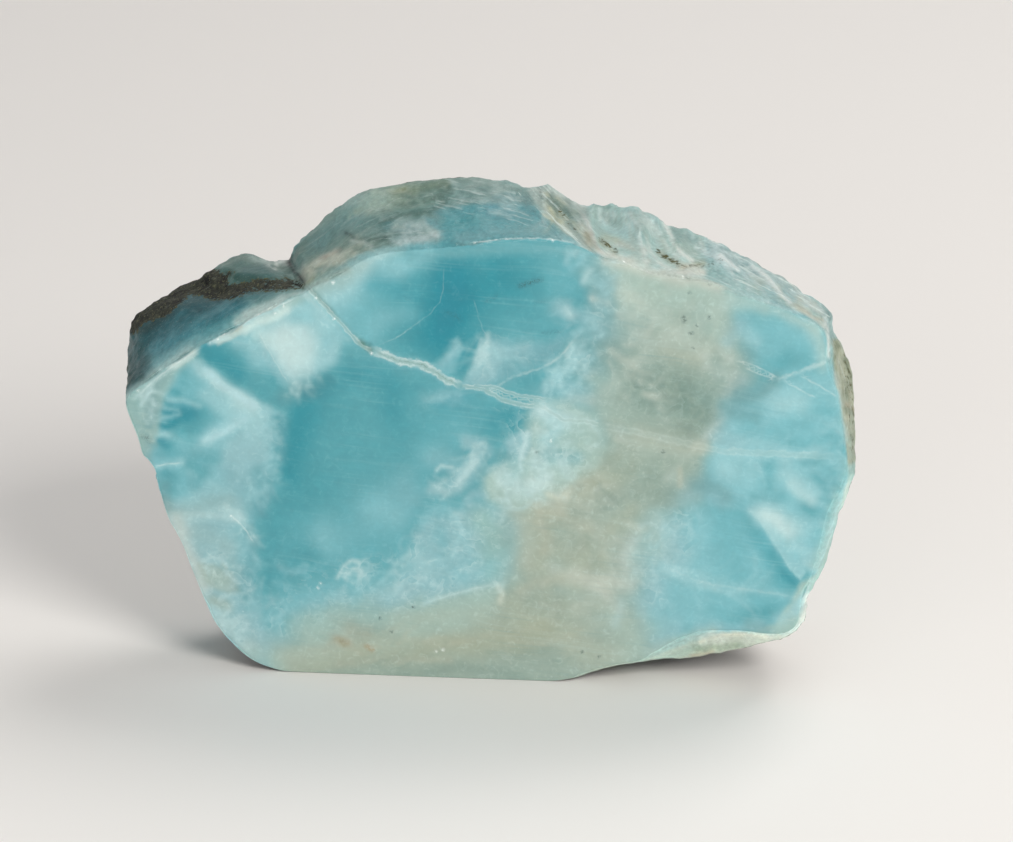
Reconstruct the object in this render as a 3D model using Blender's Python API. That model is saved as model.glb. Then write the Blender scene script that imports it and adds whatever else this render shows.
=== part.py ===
"""Rough larimar: a chunk of blue pectolite, sawn flat on its front and broken or weathered everywhere else.

It is one natural stone, so it is one closed solid. x runs to the right along the sawn face, y runs back
into the stone and z runs up from the flat that it stands on. Lengths are in millimetres until the mesh
is made, and Blender then gets metres.
"""

import math

import bmesh
import bpy
import numpy as np
from mathutils import Vector, geometry, noise

MM = 0.001

# Driving dimensions. The outlines below set the stone's 75 by 49 mm, and its thickness at the edge.
# The back swells from there to the flat breaks, about 20 mm from the sawn face.
BASE_HEIGHT = 0.0
BACK_DOME = 4.2
BACK_DOME_REACH = 6.0
BACK_ROUNDING = 0.8
BACK_ROUNDING_STARTS = 0.84

# How finely the surface is cut up
RIM_COLUMNS = 204
RIM_ROWS = 14
BACK_SPACING = 1.9

# The outline, clockwise from the left corner as the sawn face is looked at. Each point is
# (x, z) on the edge of the sawn face, (x, z) where the same line over the rim meets the back,
# the thickness there, and how far the rim bulges out between the two.
UPPER_LEFT_FACET = [
    ((-38.3, 29.7), (-40.4, 31.4), 15.0, 0.0),
    ((-35.9, 31.6), (-39.5, 33.5), 15.5, 0.0),
    ((-31.8, 34.7), (-35.8, 36.0), 16.0, 0.1),
    ((-28.7, 36.4), (-32.8, 37.7), 16.0, 0.2),
    ((-25.7, 38.2), (-30.3, 39.2), 16.0, 0.2),
    ((-23.1, 39.6), (-28.4, 40.0), 16.0, 0.1),
    ((-21.4, 40.6), (-26.2, 39.4), 16.5, 0.0),
]
NOTCH = [
    ((-20.2, 41.0), (-24.5, 39.4), 16.5, -0.2),
    ((-19.4, 41.7), (-23.9, 40.6), 17.0, 0.2),
]
CROWN = [
    ((-16.6, 43.1), (-22.4, 41.6), 17.0, 0.5),
    ((-14.3, 44.7), (-20.3, 43.4), 17.0, 0.6),
    ((-11.7, 45.6), (-17.4, 45.9), 17.0, 0.6),
    ((-8.6, 46.0), (-13.7, 47.3), 17.0, 0.5),
    ((-4.9, 46.4), (-9.4, 48.2), 17.0, 0.3),
    ((-1.6, 47.0), (-5.2, 48.6), 17.0, 0.2),
    ((1.3, 47.4), (-1.9, 48.6), 17.0, 0.2),
    ((4.3, 47.4), (0.9, 48.4), 17.0, 0.2),
    ((6.7, 47.0), (2.7, 48.8), 17.0, 0.1),
    ((8.2, 46.2), (4.8, 47.6), 17.0, 0.0),
]
RIGHT_SHOULDER = [
    ((9.6, 45.4), (7.1, 46.5), 17.0, 0.1),
    ((11.7, 45.1), (9.5, 46.7), 17.0, 0.1),
    ((13.9, 44.2), (11.8, 45.8), 17.0, 0.2),
    ((17.1, 43.7), (14.5, 44.5), 17.0, 0.2),
    ((20.1, 43.4), (17.4, 43.4), 17.0, 0.2),
    ((22.9, 42.2), (20.0, 42.3), 17.0, 0.2),
    ((25.5, 41.4), (23.0, 40.8), 17.0, 0.2),
    ((28.3, 40.5), (26.1, 39.4), 17.0, 0.1),
    ((30.7, 39.3), (29.0, 37.5), 17.0, 0.0),
]
RIGHT_SIDE = [
    ((31.6, 37.8), (31.8, 35.5), 16.5, 0.1),
    ((31.8, 35.2), (32.7, 32.8), 16.0, 0.2),
    ((32.8, 32.4), (33.9, 30.0), 16.0, 0.1),
    ((33.2, 29.9), (34.4, 27.3), 15.5, 0.2),
    ((33.8, 26.2), (34.8, 23.6), 15.0, 0.2),
    ((33.9, 23.6), (34.7, 21.0), 15.0, 0.6),
    ((33.2, 21.8), (34.0, 18.6), 14.5, 1.0),
    ((32.3, 19.8), (32.9, 16.4), 14.5, 1.1),
    ((31.6, 16.0), (31.8, 13.4), 14.5, 1.1),
    ((30.8, 12.7), (30.3, 10.8), 14.5, 0.9),
    ((29.8, 9.7), (28.8, 8.3), 14.0, 0.7),
]
HEEL = [
    ((29.7, 7.5), (28.2, 6.4), 14.0, 0.9),
    ((28.4, 6.2), (26.8, 5.0), 14.0, 1.1),
    ((25.7, 6.1), (24.0, 4.4), 14.0, 1.6),
    ((23.2, 6.4), (21.6, 4.0), 14.0, 2.2),
    ((19.7, 6.0), (18.4, 3.2), 14.0, 2.5),
    ((16.6, 4.6), (16.0, 1.8), 14.0, 2.0),
    ((13.7, 2.7), (13.0, 0.9), 14.0, 0.8),
    ((9.6, 1.7), (10.6, 0.1), 14.0, 0.5),
]
BASE = [
    ((6.2, 0.3), (8.4, -0.6), 14.0, 0.3),
    ((2.0, -0.3), (3.0, -0.8), 14.0, 0.3),
    ((-5.8, -0.5), (-6.0, -0.9), 14.0, 0.3),
    ((-11.5, -0.5), (-12.0, -0.9), 14.0, 0.3),
    ((-16.7, -0.4), (-18.0, -0.8), 14.0, 0.3),
    ((-21.9, -0.1), (-22.5, -0.3), 14.0, 0.2),
    ((-25.1, 0.7), (-25.0, 1.2), 13.5, 0.3),
]
LEFT_SIDE = [
    ((-27.5, 2.3), (-27.4, 3.4), 13.0, 0.4),
    ((-29.3, 4.5), (-29.4, 6.0), 13.0, 0.4),
    ((-30.5, 6.5), (-30.8, 8.4), 13.0, 0.4),
    ((-32.0, 10.6), (-32.3, 12.4), 13.0, 0.1),
    ((-33.2, 13.9), (-33.8, 15.8), 13.5, 0.0),
    ((-34.5, 16.6), (-35.3, 19.0), 13.5, 0.0),
    ((-35.3, 19.7), (-36.5, 22.0), 14.0, 0.0),
    ((-35.7, 22.0), (-37.3, 24.2), 14.0, 0.0),
    ((-36.9, 23.1), (-38.3, 25.6), 14.0, 0.0),
    ((-37.1, 24.4), (-39.0, 27.0), 14.5, 0.0),
    ((-37.8, 26.6), (-39.9, 28.6), 14.5, 0.0),
    ((-38.4, 28.3), (-40.4, 30.0), 14.5, 0.0),
]

# Flutes and ridges that run over the top of the rim, each from its front end to its back end as
# (x, y), with its half width and its depth. A ridge has a negative depth.
RIM_FLUTES = [
    ((-22.5, 4.0), (-36.5, 14.0), 1.7, 0.4),
    ((-20.1, 0.0), (-24.4, 17.0), 0.8, 0.5),
    ((-14.6, 6.5), (-11.8, 7.5), 0.9, 0.4),
    ((-6.0, 9.5), (-16.5, 10.5), 1.3, 0.35),
    ((4.5, 8.0), (-3.5, 13.5), 2.3, 0.35),
    ((9.3, 0.5), (3.6, 17.0), 0.9, -0.55),
    ((11.2, 4.0), (9.2, 13.5), 2.1, 0.9),
    ((15.6, 3.0), (13.6, 12.5), 1.9, 0.75),
    ((12.9, 8.0), (11.6, 17.0), 0.8, -0.35),
    ((19.2, 3.0), (16.4, 14.0), 1.8, 0.7),
    ((22.5, 2.5), (18.8, 17.0), 0.8, -0.3),
    ((25.4, 3.0), (21.6, 15.0), 1.1, 0.4),
    ((28.5, 4.0), (24.8, 16.0), 1.0, 0.35),
    ((30.0, 5.0), (27.5, 14.0), 0.9, 0.3),
]

# Flat breaks across the back, each as the (x, z) of its middle, its y there, and how much y
# rises for each millimetre to the right and up
BACK_BREAKS = [
    ((-3.0, 27.0), 19.6, 0.020, -0.030),
    ((-27.0, 31.0), 17.7, 0.170, -0.080),
    ((-21.0, 10.0), 17.6, 0.110, 0.170),
    ((5.0, 8.0), 18.0, -0.030, 0.230),
    ((23.0, 12.0), 17.3, -0.150, 0.120),
    ((24.0, 33.0), 17.7, -0.190, -0.090),
    ((-3.0, 43.0), 18.5, 0.050, -0.260),
]

# Shell-shaped flakes broken off at random: the seed and number of each group, then the lowest and
# highest value of their places in x, y and z, of their radius and of their depth
RIM_FLAKES = (6610, 95, (-42, 36), (3.0, 19.0), (-1, 50), (2.6, 7.0), (0.25, 0.75))
BACK_FLAKES = (6611, 34, (-40, 34), (17.0, 19.5), (0, 48), (4.5, 10.5), (0.55, 1.50))
# What the flakes take off on average, which the rough surface stands proud by
FLAKE_MEAN = 0.32
# The rim is fully rough from this far behind the sawn face
BROKEN_FROM = 2.0

# Sizes and heights of the roughness, from lumps down to chips
LUMP_SIZE = 9.0
LUMP_HEIGHT = 0.45
CHIP_SIZE = 2.6
CHIP_HEIGHT = 0.22
EDGE_CHIP_HEIGHT = 0.10


def outline_points():
    """Every outline point in order, as rows of face x, face z, back x, back z, thickness, bulge."""
    stretches = (
        UPPER_LEFT_FACET
        + NOTCH
        + CROWN
        + RIGHT_SHOULDER
        + RIGHT_SIDE
        + HEEL
        + BASE
        + LEFT_SIDE
    )
    return np.array([[*face, *back, depth, bulge] for face, back, depth, bulge in stretches])


def closed_spline(points, parameter):
    """Catmull-Rom values of a closed row of points at each parameter, counted in points."""
    count = len(points)
    first = np.floor(parameter).astype(int)
    t = (parameter - first)[:, None]
    before, start, end, after = (points[(first + step) % count] for step in (-1, 0, 1, 2))
    return 0.5 * (
        2 * start
        + (end - before) * t
        + (2 * before - 5 * start + 4 * end - after) * t**2
        + (3 * start - before - 3 * end + after) * t**3
    )


def even_columns(points, columns):
    """The outline resampled so that its columns are evenly spaced along the sawn face's edge."""
    fine = np.linspace(0, len(points), 60 * len(points), endpoint=False)
    edge = closed_spline(points, fine)[:, :2]
    step = np.linalg.norm(np.roll(edge, -1, axis=0) - edge, axis=1)
    travelled = np.concatenate([[0], np.cumsum(step)])
    wanted = np.linspace(0, travelled[-1], columns, endpoint=False)
    parameter = np.interp(wanted, travelled, np.append(fine, len(points)))
    return closed_spline(points, parameter)


def outward_normals(loop):
    """Unit normals of a closed clockwise loop of (x, z) points, pointing out of it."""
    along = np.roll(loop, -1, axis=0) - np.roll(loop, 1, axis=0)
    along /= np.linalg.norm(along, axis=1)[:, None]
    return np.column_stack([-along[:, 1], along[:, 0]])


def rim_rows(columns):
    """The rim as rows of points from the sawn edge to the back, before any break is cut in it."""
    face, back, depth, bulge = columns[:, 0:2], columns[:, 2:4], columns[:, 4], columns[:, 5]
    rows = []
    for row in range(RIM_ROWS + 1):
        share = row / RIM_ROWS
        loop = face + (back - face) * share
        swell = bulge * math.sin(math.pi * math.sqrt(share))
        tuck = BACK_ROUNDING * max(0.0, (share - BACK_ROUNDING_STARTS) / (1 - BACK_ROUNDING_STARTS)) ** 2
        loop = loop + outward_normals(loop) * (swell - tuck)[:, None]
        rows.append(np.column_stack([loop[:, 0], depth * share, loop[:, 1]]))
    return rows


def hexagonal_points(loop, spacing):
    """Points on a triangular grid inside a closed loop, clear of its edge."""
    low, high = loop.min(axis=0), loop.max(axis=0)
    edge = [Vector(p) for p in loop]
    found = []
    row_height = spacing * math.sqrt(3) / 2
    for row in range(int((high[1] - low[1]) / row_height) + 1):
        z = low[1] + row * row_height
        x = low[0] + (row % 2) * spacing / 2
        while x < high[0]:
            clear = np.linalg.norm(loop - (x, z), axis=1).min() > 0.6 * spacing
            if clear and inside(edge, x, z):
                found.append((x, z))
            x += spacing
    return found


def inside(edge, x, z):
    """True if (x, z) is inside the closed polygon, by counting the edges that a ray crosses."""
    crossed = False
    for a, b in zip(edge, edge[1:] + edge[:1]):
        if (a.y > z) != (b.y > z) and x < a.x + (z - a.y) * (b.x - a.x) / (b.y - a.y):
            crossed = not crossed
    return crossed


def back_surface(edge_row):
    """Points and triangles that close the back, domed between the thicknesses at its edge."""
    loop = edge_row[:, [0, 2]]
    flat = [Vector(p) for p in loop] + [Vector(p) for p in hexagonal_points(loop, BACK_SPACING)]
    ring = [(i, (i + 1) % len(loop)) for i in range(len(loop))]
    made = geometry.delaunay_2d_cdt(flat, ring, [], 1, 1e-5)
    points, triangles, came_from = made[0], made[2], made[3]
    surface = []
    for point, source in zip(points, came_from):
        if source and source[0] < len(loop):
            surface.append(("edge", source[0]))
            continue
        distance = np.linalg.norm(loop - (point.x, point.y), axis=1)
        weight = distance**-3.0
        thickness = (weight * edge_row[:, 1]).sum() / weight.sum()
        dome = thickness + BACK_DOME * (1 - math.exp(-distance.min() / BACK_DOME_REACH))
        surface.append(("new", (point.x, min(dome, back_break(point.x, point.y)), point.y)))
    return surface, triangles


def back_break(x, z):
    """The y of the nearest flat break across the back, at (x, z)."""
    return min(
        y + right * (x - middle[0]) + up * (z - middle[1]) for middle, y, right, up in BACK_BREAKS
    )


def scattered(seed, count, *ranges):
    """A group of flakes at random, as rows of x, y, z, radius and depth."""
    random = np.random.default_rng(seed)
    return np.column_stack([random.uniform(low, high, count) for low, high in ranges])


def flake_cut(point, flakes):
    """How deep the deepest flake cuts at a point. Neighbouring flakes meet in a sharp arris."""
    share = np.linalg.norm(flakes[:, :3] - point, axis=1) / flakes[:, 3]
    return float(np.maximum(flakes[:, 4] * (1 - share**2), 0).max())


def flute_cut(point):
    """How deep the flutes over the top of the rim cut at a point. It is negative on a ridge."""
    spot = np.array([point[0], point[1]])
    cut = 0.0
    for front, back, half_width, depth in RIM_FLUTES:
        start, way = np.array(front), np.subtract(back, front)
        share = np.clip((spot - start) @ way / (way @ way), 0, 1)
        off = np.linalg.norm(spot - start - share * way) / half_width
        cut += depth * max(0.0, 1 - off**2)
    return cut


def relief(point, normal, flakes):
    """How far the broken surface stands above the smooth one at a point, in millimetres."""
    lump = LUMP_HEIGHT * noise.fractal(Vector(point) / LUMP_SIZE, 1.0, 2.0, 2)
    chip = CHIP_HEIGHT * noise.fractal(Vector(point) / CHIP_SIZE, 0.8, 2.1, 3)
    on_top = min(1.0, max(0.0, 2.5 * normal.z - 0.5))
    return lump + chip + FLAKE_MEAN - flake_cut(point, flakes) - on_top * flute_cut(point)


def stone_mesh():
    """The whole stone as a closed bmesh, in millimetres."""
    columns = even_columns(outline_points(), RIM_COLUMNS)
    rows = rim_rows(columns)
    mesh = bmesh.new()
    rings = [[mesh.verts.new(p) for p in row] for row in rows]
    for near, far in zip(rings, rings[1:]):
        for i in range(RIM_COLUMNS):
            j = (i + 1) % RIM_COLUMNS
            mesh.faces.new((near[j], near[i], far[i], far[j]))
    mesh.faces.new(rings[0])
    surface, triangles = back_surface(rows[-1])
    corners = [rings[-1][p] if kind == "edge" else mesh.verts.new(p) for kind, p in surface]
    for triangle in triangles:
        mesh.faces.new([corners[i] for i in triangle])
    bmesh.ops.recalc_face_normals(mesh, faces=mesh.faces)
    break_surface(mesh, set(rings[0]))
    return mesh


def break_surface(mesh, sawn_edge):
    """Roughens everything but the sawn face, then levels the foot that the stone stands on."""
    flakes = np.vstack([scattered(*RIM_FLAKES), scattered(*BACK_FLAKES)])
    mesh.normal_update()
    moved = {}
    for vert in mesh.verts:
        if vert in sawn_edge:
            chip = EDGE_CHIP_HEIGHT * noise.fractal(vert.co / CHIP_SIZE, 0.7, 2.1, 3)
            sideways = Vector((vert.normal.x, 0, vert.normal.z)).normalized()
            moved[vert] = vert.co + sideways * chip
            continue
        fade = min(1.0, vert.co.y / BROKEN_FROM)
        height = relief(vert.co, vert.normal, flakes)
        moved[vert] = vert.co + vert.normal * height * fade
    for vert, place in moved.items():
        vert.co = place
        vert.co.y = max(vert.co.y, 0.0)
        vert.co.z = max(vert.co.z, BASE_HEIGHT)


def stand_on_origin(mesh):
    """Moves the stone so that the middle of its footprint's box is the origin, and turns it to metres."""
    places = np.array([vert.co for vert in mesh.verts])
    middle = (places.min(axis=0) + places.max(axis=0)) / 2
    bmesh.ops.translate(mesh, verts=mesh.verts, vec=(-middle[0], -middle[1], -places[:, 2].min()))
    bmesh.ops.scale(mesh, verts=mesh.verts, vec=(MM, MM, MM))


def larimar_material():
    """Pale sky-blue stone with a waxy shine."""
    material = bpy.data.materials.new("larimar")
    material.use_nodes = True
    shader = material.node_tree.nodes["Principled BSDF"]
    shader.inputs["Base Color"].default_value = (0.16, 0.47, 0.53, 1)
    shader.inputs["Roughness"].default_value = 0.32
    shader.inputs["Metallic"].default_value = 0.0
    return material


def build_stone():
    """Makes the stone's object, shaded smooth but for its arrises."""
    mesh = stone_mesh()
    stand_on_origin(mesh)
    data = bpy.data.meshes.new("larimar_stone")
    mesh.to_mesh(data)
    mesh.free()
    data.shade_smooth()
    data.set_sharp_from_angle(angle=math.radians(40))
    data.materials.append(larimar_material())
    stone = bpy.data.objects.new("larimar_stone", data)
    bpy.context.scene.collection.objects.link(stone)
    return stone


for old in list(bpy.data.objects):
    bpy.data.objects.remove(old)
build_stone()
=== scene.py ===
"""Rough larimar: the looks of the stone, its sawn face, its broken rim and its weathered back."""

import math
import random

import bmesh
import bpy
import numpy as np
from mathutils import Matrix, Vector, geometry


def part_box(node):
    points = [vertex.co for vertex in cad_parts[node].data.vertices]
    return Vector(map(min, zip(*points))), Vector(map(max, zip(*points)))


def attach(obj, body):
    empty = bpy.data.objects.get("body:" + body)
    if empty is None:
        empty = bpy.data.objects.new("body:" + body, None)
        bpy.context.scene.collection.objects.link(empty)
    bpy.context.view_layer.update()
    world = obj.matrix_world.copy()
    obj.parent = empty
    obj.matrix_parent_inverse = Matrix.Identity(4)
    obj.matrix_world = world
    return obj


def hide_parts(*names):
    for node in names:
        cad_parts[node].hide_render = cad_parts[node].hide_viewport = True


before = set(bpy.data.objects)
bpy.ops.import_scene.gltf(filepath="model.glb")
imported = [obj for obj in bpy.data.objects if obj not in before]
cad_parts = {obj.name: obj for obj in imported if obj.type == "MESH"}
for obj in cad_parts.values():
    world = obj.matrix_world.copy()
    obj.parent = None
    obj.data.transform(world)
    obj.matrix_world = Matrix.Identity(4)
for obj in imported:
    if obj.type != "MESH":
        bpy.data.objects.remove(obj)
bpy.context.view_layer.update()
NODE = "larimar_stone"
LOW, HIGH = (np.array(corner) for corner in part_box(NODE))
MM = 0.001

# The camera. Its picture is in pixels, and the middle of it looks at a spot on the sawn face.
PICTURE = (1013, 842)
LENS_PIXELS = 4000.0
SENSOR_MM = 36.0
DISTANCE = 400 * MM
AZIMUTH = math.radians(5)
ELEVATION = math.radians(20)
AIM = np.array([2.68 * MM, LOW[1], 28.23 * MM])
BACKWARD = np.array(
    [math.sin(AZIMUTH) * math.cos(ELEVATION), -math.cos(AZIMUTH) * math.cos(ELEVATION), math.sin(ELEVATION)]
)
RIGHT = np.array([math.cos(AZIMUTH), math.sin(AZIMUTH), 0.0])
UP = np.cross(BACKWARD, RIGHT)
EYE = AIM + DISTANCE * BACKWARD


def in_picture(points):
    """Where points in metres show in the picture, in pixels from its top left corner."""
    seen = points - EYE
    depth = -(seen @ BACKWARD)
    return np.column_stack(
        [
            PICTURE[0] / 2 + LENS_PIXELS * (seen @ RIGHT) / depth,
            PICTURE[1] / 2 - LENS_PIXELS * (seen @ UP) / depth,
        ]
    )


def on_face(pixels):
    """The (x, z) in metres on the sawn face of points in the picture."""
    pixels = np.atleast_2d(np.array(pixels, float))
    ray = (
        -BACKWARD * LENS_PIXELS
        + RIGHT * (pixels[:, :1] - PICTURE[0] / 2)
        - UP * (pixels[:, 1:] - PICTURE[1] / 2)
    )
    spot = EYE + ray * ((LOW[1] - EYE[1]) / ray[:, 1])[:, None]
    return spot[:, [0, 2]]


# Noise, all in numpy so that it is quick and the same on every run
def lattice(corner, seed):
    """Three numbers between -1 and 1 for each lattice corner."""
    key = corner[:, 0] * 73856093 ^ corner[:, 1] * 19349663 ^ corner[:, 2] * 83492791 ^ (seed * 6271 + 17)
    key = (key ^ (key >> 13)) * 1274126177 & 0xFFFFFFFF
    key ^= key >> 15
    key = key * 2246822519 & 0xFFFFFFFF
    key ^= key >> 13
    return np.column_stack([key & 1023, key >> 10 & 1023, key >> 20 & 1023]) / 511.5 - 1


def gradient_noise(points, seed=0):
    """Smooth noise between about -1 and 1 at points whose cells are 1 wide."""
    cell = np.floor(points).astype(np.int64)
    part = points - cell
    ease = part**3 * (part * (part * 6 - 15) + 10)
    total = np.zeros(len(points))
    for step in np.ndindex(2, 2, 2):
        share = np.where(step, ease, 1 - ease).prod(axis=1)
        total += share * (lattice(cell + step, seed) * (part - step)).sum(axis=1)
    return total * 1.5


def fractal(points, size, octaves=4, seed=0):
    """Fractal noise whose largest lumps are size apart."""
    return sum(gradient_noise(points / size * 2**k, seed + k) / 2**k for k in range(octaves))


def scallops(points, size, seed=0):
    """0 in the middle of scooped hollows, and 1 or more on the arrises between them."""
    cell = np.floor(points / size).astype(np.int64)
    nearest = np.full(len(points), 9.0)
    for step in np.ndindex(3, 3, 3):
        corner = cell + step - 1
        centre = corner + 0.5 + 0.45 * lattice(corner, seed)
        nearest = np.minimum(nearest, ((points / size - centre) ** 2).sum(axis=1))
    return nearest / 0.6


def smooth(low, high, value):
    """0 below low, 1 above high, and a smooth step between."""
    t = np.clip((value - low) / (high - low), 0, 1)
    return t * t * (3 - 2 * t)


# Distances in the picture
def path_distance(points, path):
    """Signed distance to a path of points, how far along it, from 0 to 1, and which side: + is left."""
    best = np.full(len(points), 1e9)
    side = np.ones(len(points))
    along = np.zeros(len(points))
    legs = np.linalg.norm(np.diff(path, axis=0), axis=1)
    start = np.concatenate([[0], np.cumsum(legs)])
    for a, b, begun, leg in zip(path, path[1:], start, legs):
        way = (b - a) / max(leg, 1e-9)
        offset = points - a
        t = np.clip(offset @ way, 0, leg)
        gap = offset - t[:, None] * way
        distance = np.hypot(gap[:, 0], gap[:, 1])
        closer = distance < best
        best[closer] = distance[closer]
        turn = way[0] * offset[:, 1] - way[1] * offset[:, 0]
        side[closer] = np.where(turn[closer] >= 0, 1, -1)
        along[closer] = (begun + t[closer]) / max(start[-1], 1e-9)
    return best, side, along


def inside(points, outline):
    """True where points are inside a closed outline."""
    crossed = np.zeros(len(points), bool)
    for a, b in zip(outline, np.roll(outline, -1, axis=0)):
        spans = (a[1] > points[:, 1]) != (b[1] > points[:, 1])
        if a[1] != b[1]:
            reach = a[0] + (points[:, 1] - a[1]) * (b[0] - a[0]) / (b[1] - a[1])
            crossed ^= spans & (points[:, 0] < reach)
    return crossed


def linear(pigment):
    """A pigment as linear colour."""
    c = np.array(pigment) / 255
    return np.where(c <= 0.04045, c / 12.92, ((c + 0.055) / 1.055) ** 2.4)


def tint(pigment):
    """A pigment as the linear colour of a material's socket."""
    return tuple(linear(pigment))


# Pigments, as the picture shows them, red, green and blue out of 255
ABYSS = (38, 137, 153)
DEEP = (50, 144, 157)
TEAL = (77, 156, 166)
BLUE = (98, 167, 175)
CYAN = (114, 180, 188)
SKY = (134, 191, 198)
PALE = (160, 204, 208)
HAZE = (150, 191, 196)
MILK = (188, 217, 217)
WHITE = (212, 232, 229)
FERN = (167, 193, 184)
SAGE = (160, 177, 165)
OLIVE = (135, 157, 147)
MOSS = (171, 178, 157)
SAND = (186, 188, 168)
CREAM = (202, 211, 196)
RUST = (166, 140, 104)
STAIN = (132, 124, 88)
# A near black that paints the shade inside the crack at the notch
CRACK_SHADE = (36, 58, 58)
SLATE = (106, 152, 155)
CRUST = (54, 52, 42)
SKIN = (122, 128, 102)
# Pigments of the fine detail that the material adds
SPECK = (40, 72, 72)
# The white of the bright flecks, most of which paints glints where the edges catch the light
FLECK_AND_GLINT = (244, 248, 244)
STREAK = (206, 222, 218)
DULL = (134, 140, 112)
CRYSTAL = (218, 228, 222)
CELL_WALL = (196, 206, 190)
VEIN_CORE = (164, 186, 178)
VEIN_WALL = (206, 220, 216)
VEIN_GAP = (96, 124, 108)
# The white of the fine veins, which also paints the highlight along the sawn edge
FINE_VEIN_AND_GLINT = (226, 236, 232)
CRUST_DARK = (12, 16, 10)
CRUST_LIGHT = (66, 70, 54)
CRUST_FLAKE = (126, 128, 92)
CRUST_THIN = (108, 110, 66)
CRUST_LINE = (112, 122, 112)
FLOOR = (236, 233, 230)
# What the gloss adds to a colour in the picture, and how bright the light makes the rest of it
GLOSS = 0.028
LIGHT = 1.03


class Mark:
    """Some paint: its pigment, strength, softness or radius, path in picture pixels, and kind."""

    def __init__(self, pigment, strength, width, path, kind):
        self.pigment, self.strength, self.width, self.kind = pigment, strength, width, kind
        self.path = np.array(path, float)


def area(pigment, strength, edge, *outline):
    """A patch of colour with an edge of some softness."""
    return [Mark(pigment, strength, edge, outline, "area")]


def stroke(pigment, strength, radius, *path):
    """A soft brush stroke."""
    return [Mark(pigment, strength, radius, path, "stroke")]


def fibres(pigment, strength, radius, path, turn, length, count, seed, spread=12):
    """Fine strokes that start along a path and run off at a turn, in degrees clockwise from the right."""
    dice = random.Random(seed)
    path = np.array(path, float)
    made = []
    for _ in range(count):
        leg, part = divmod(dice.uniform(0, len(path) - 1), 1)
        start = path[int(leg)] * (1 - part) + path[int(leg) + 1] * part
        start = start + [dice.gauss(0, 2.5 * radius), dice.gauss(0, 2.5 * radius)]
        way = math.radians(dice.gauss(turn, spread))
        bend = dice.gauss(0, 0.3)
        reach = length * dice.uniform(0.35, 1.1)
        line = [start]
        for k in range(1, 4):
            line.append(line[-1] + reach / 3 * np.array([math.cos(way + bend * k), math.sin(way + bend * k)]))
        share = strength * dice.uniform(0.4, 1)
        width = radius * dice.uniform(0.7, 1.3)
        made.append(Mark(pigment, share, width, line, "fibre"))
    return made


def curls(pigment, strength, radius, outline, size, count, seed):
    """Small curled strokes of about one size, scattered inside an outline."""
    dice = random.Random(seed)
    outline = np.array(outline, float)
    low, high = outline.min(axis=0), outline.max(axis=0)
    made = []
    while len(made) < count:
        middle = np.array([[dice.uniform(low[0], high[0]), dice.uniform(low[1], high[1])]])
        if not inside(middle, outline)[0]:
            continue
        reach = size * dice.uniform(0.5, 1.2)
        begin = dice.uniform(0, 6.3)
        sweep = dice.uniform(1.2, 4.2)
        flat = dice.uniform(0.5, 1.0)
        turns = begin + sweep * np.linspace(0, 1, 6)
        arc = middle + reach * np.column_stack([np.cos(turns), flat * np.sin(turns)])
        share = strength * dice.uniform(0.4, 1)
        width = radius * dice.uniform(0.7, 1.2)
        made.append(Mark(pigment, share, width, arc, "fibre"))
    return made


# The marks of the stone's colours, with their paths in picture pixels

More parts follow.
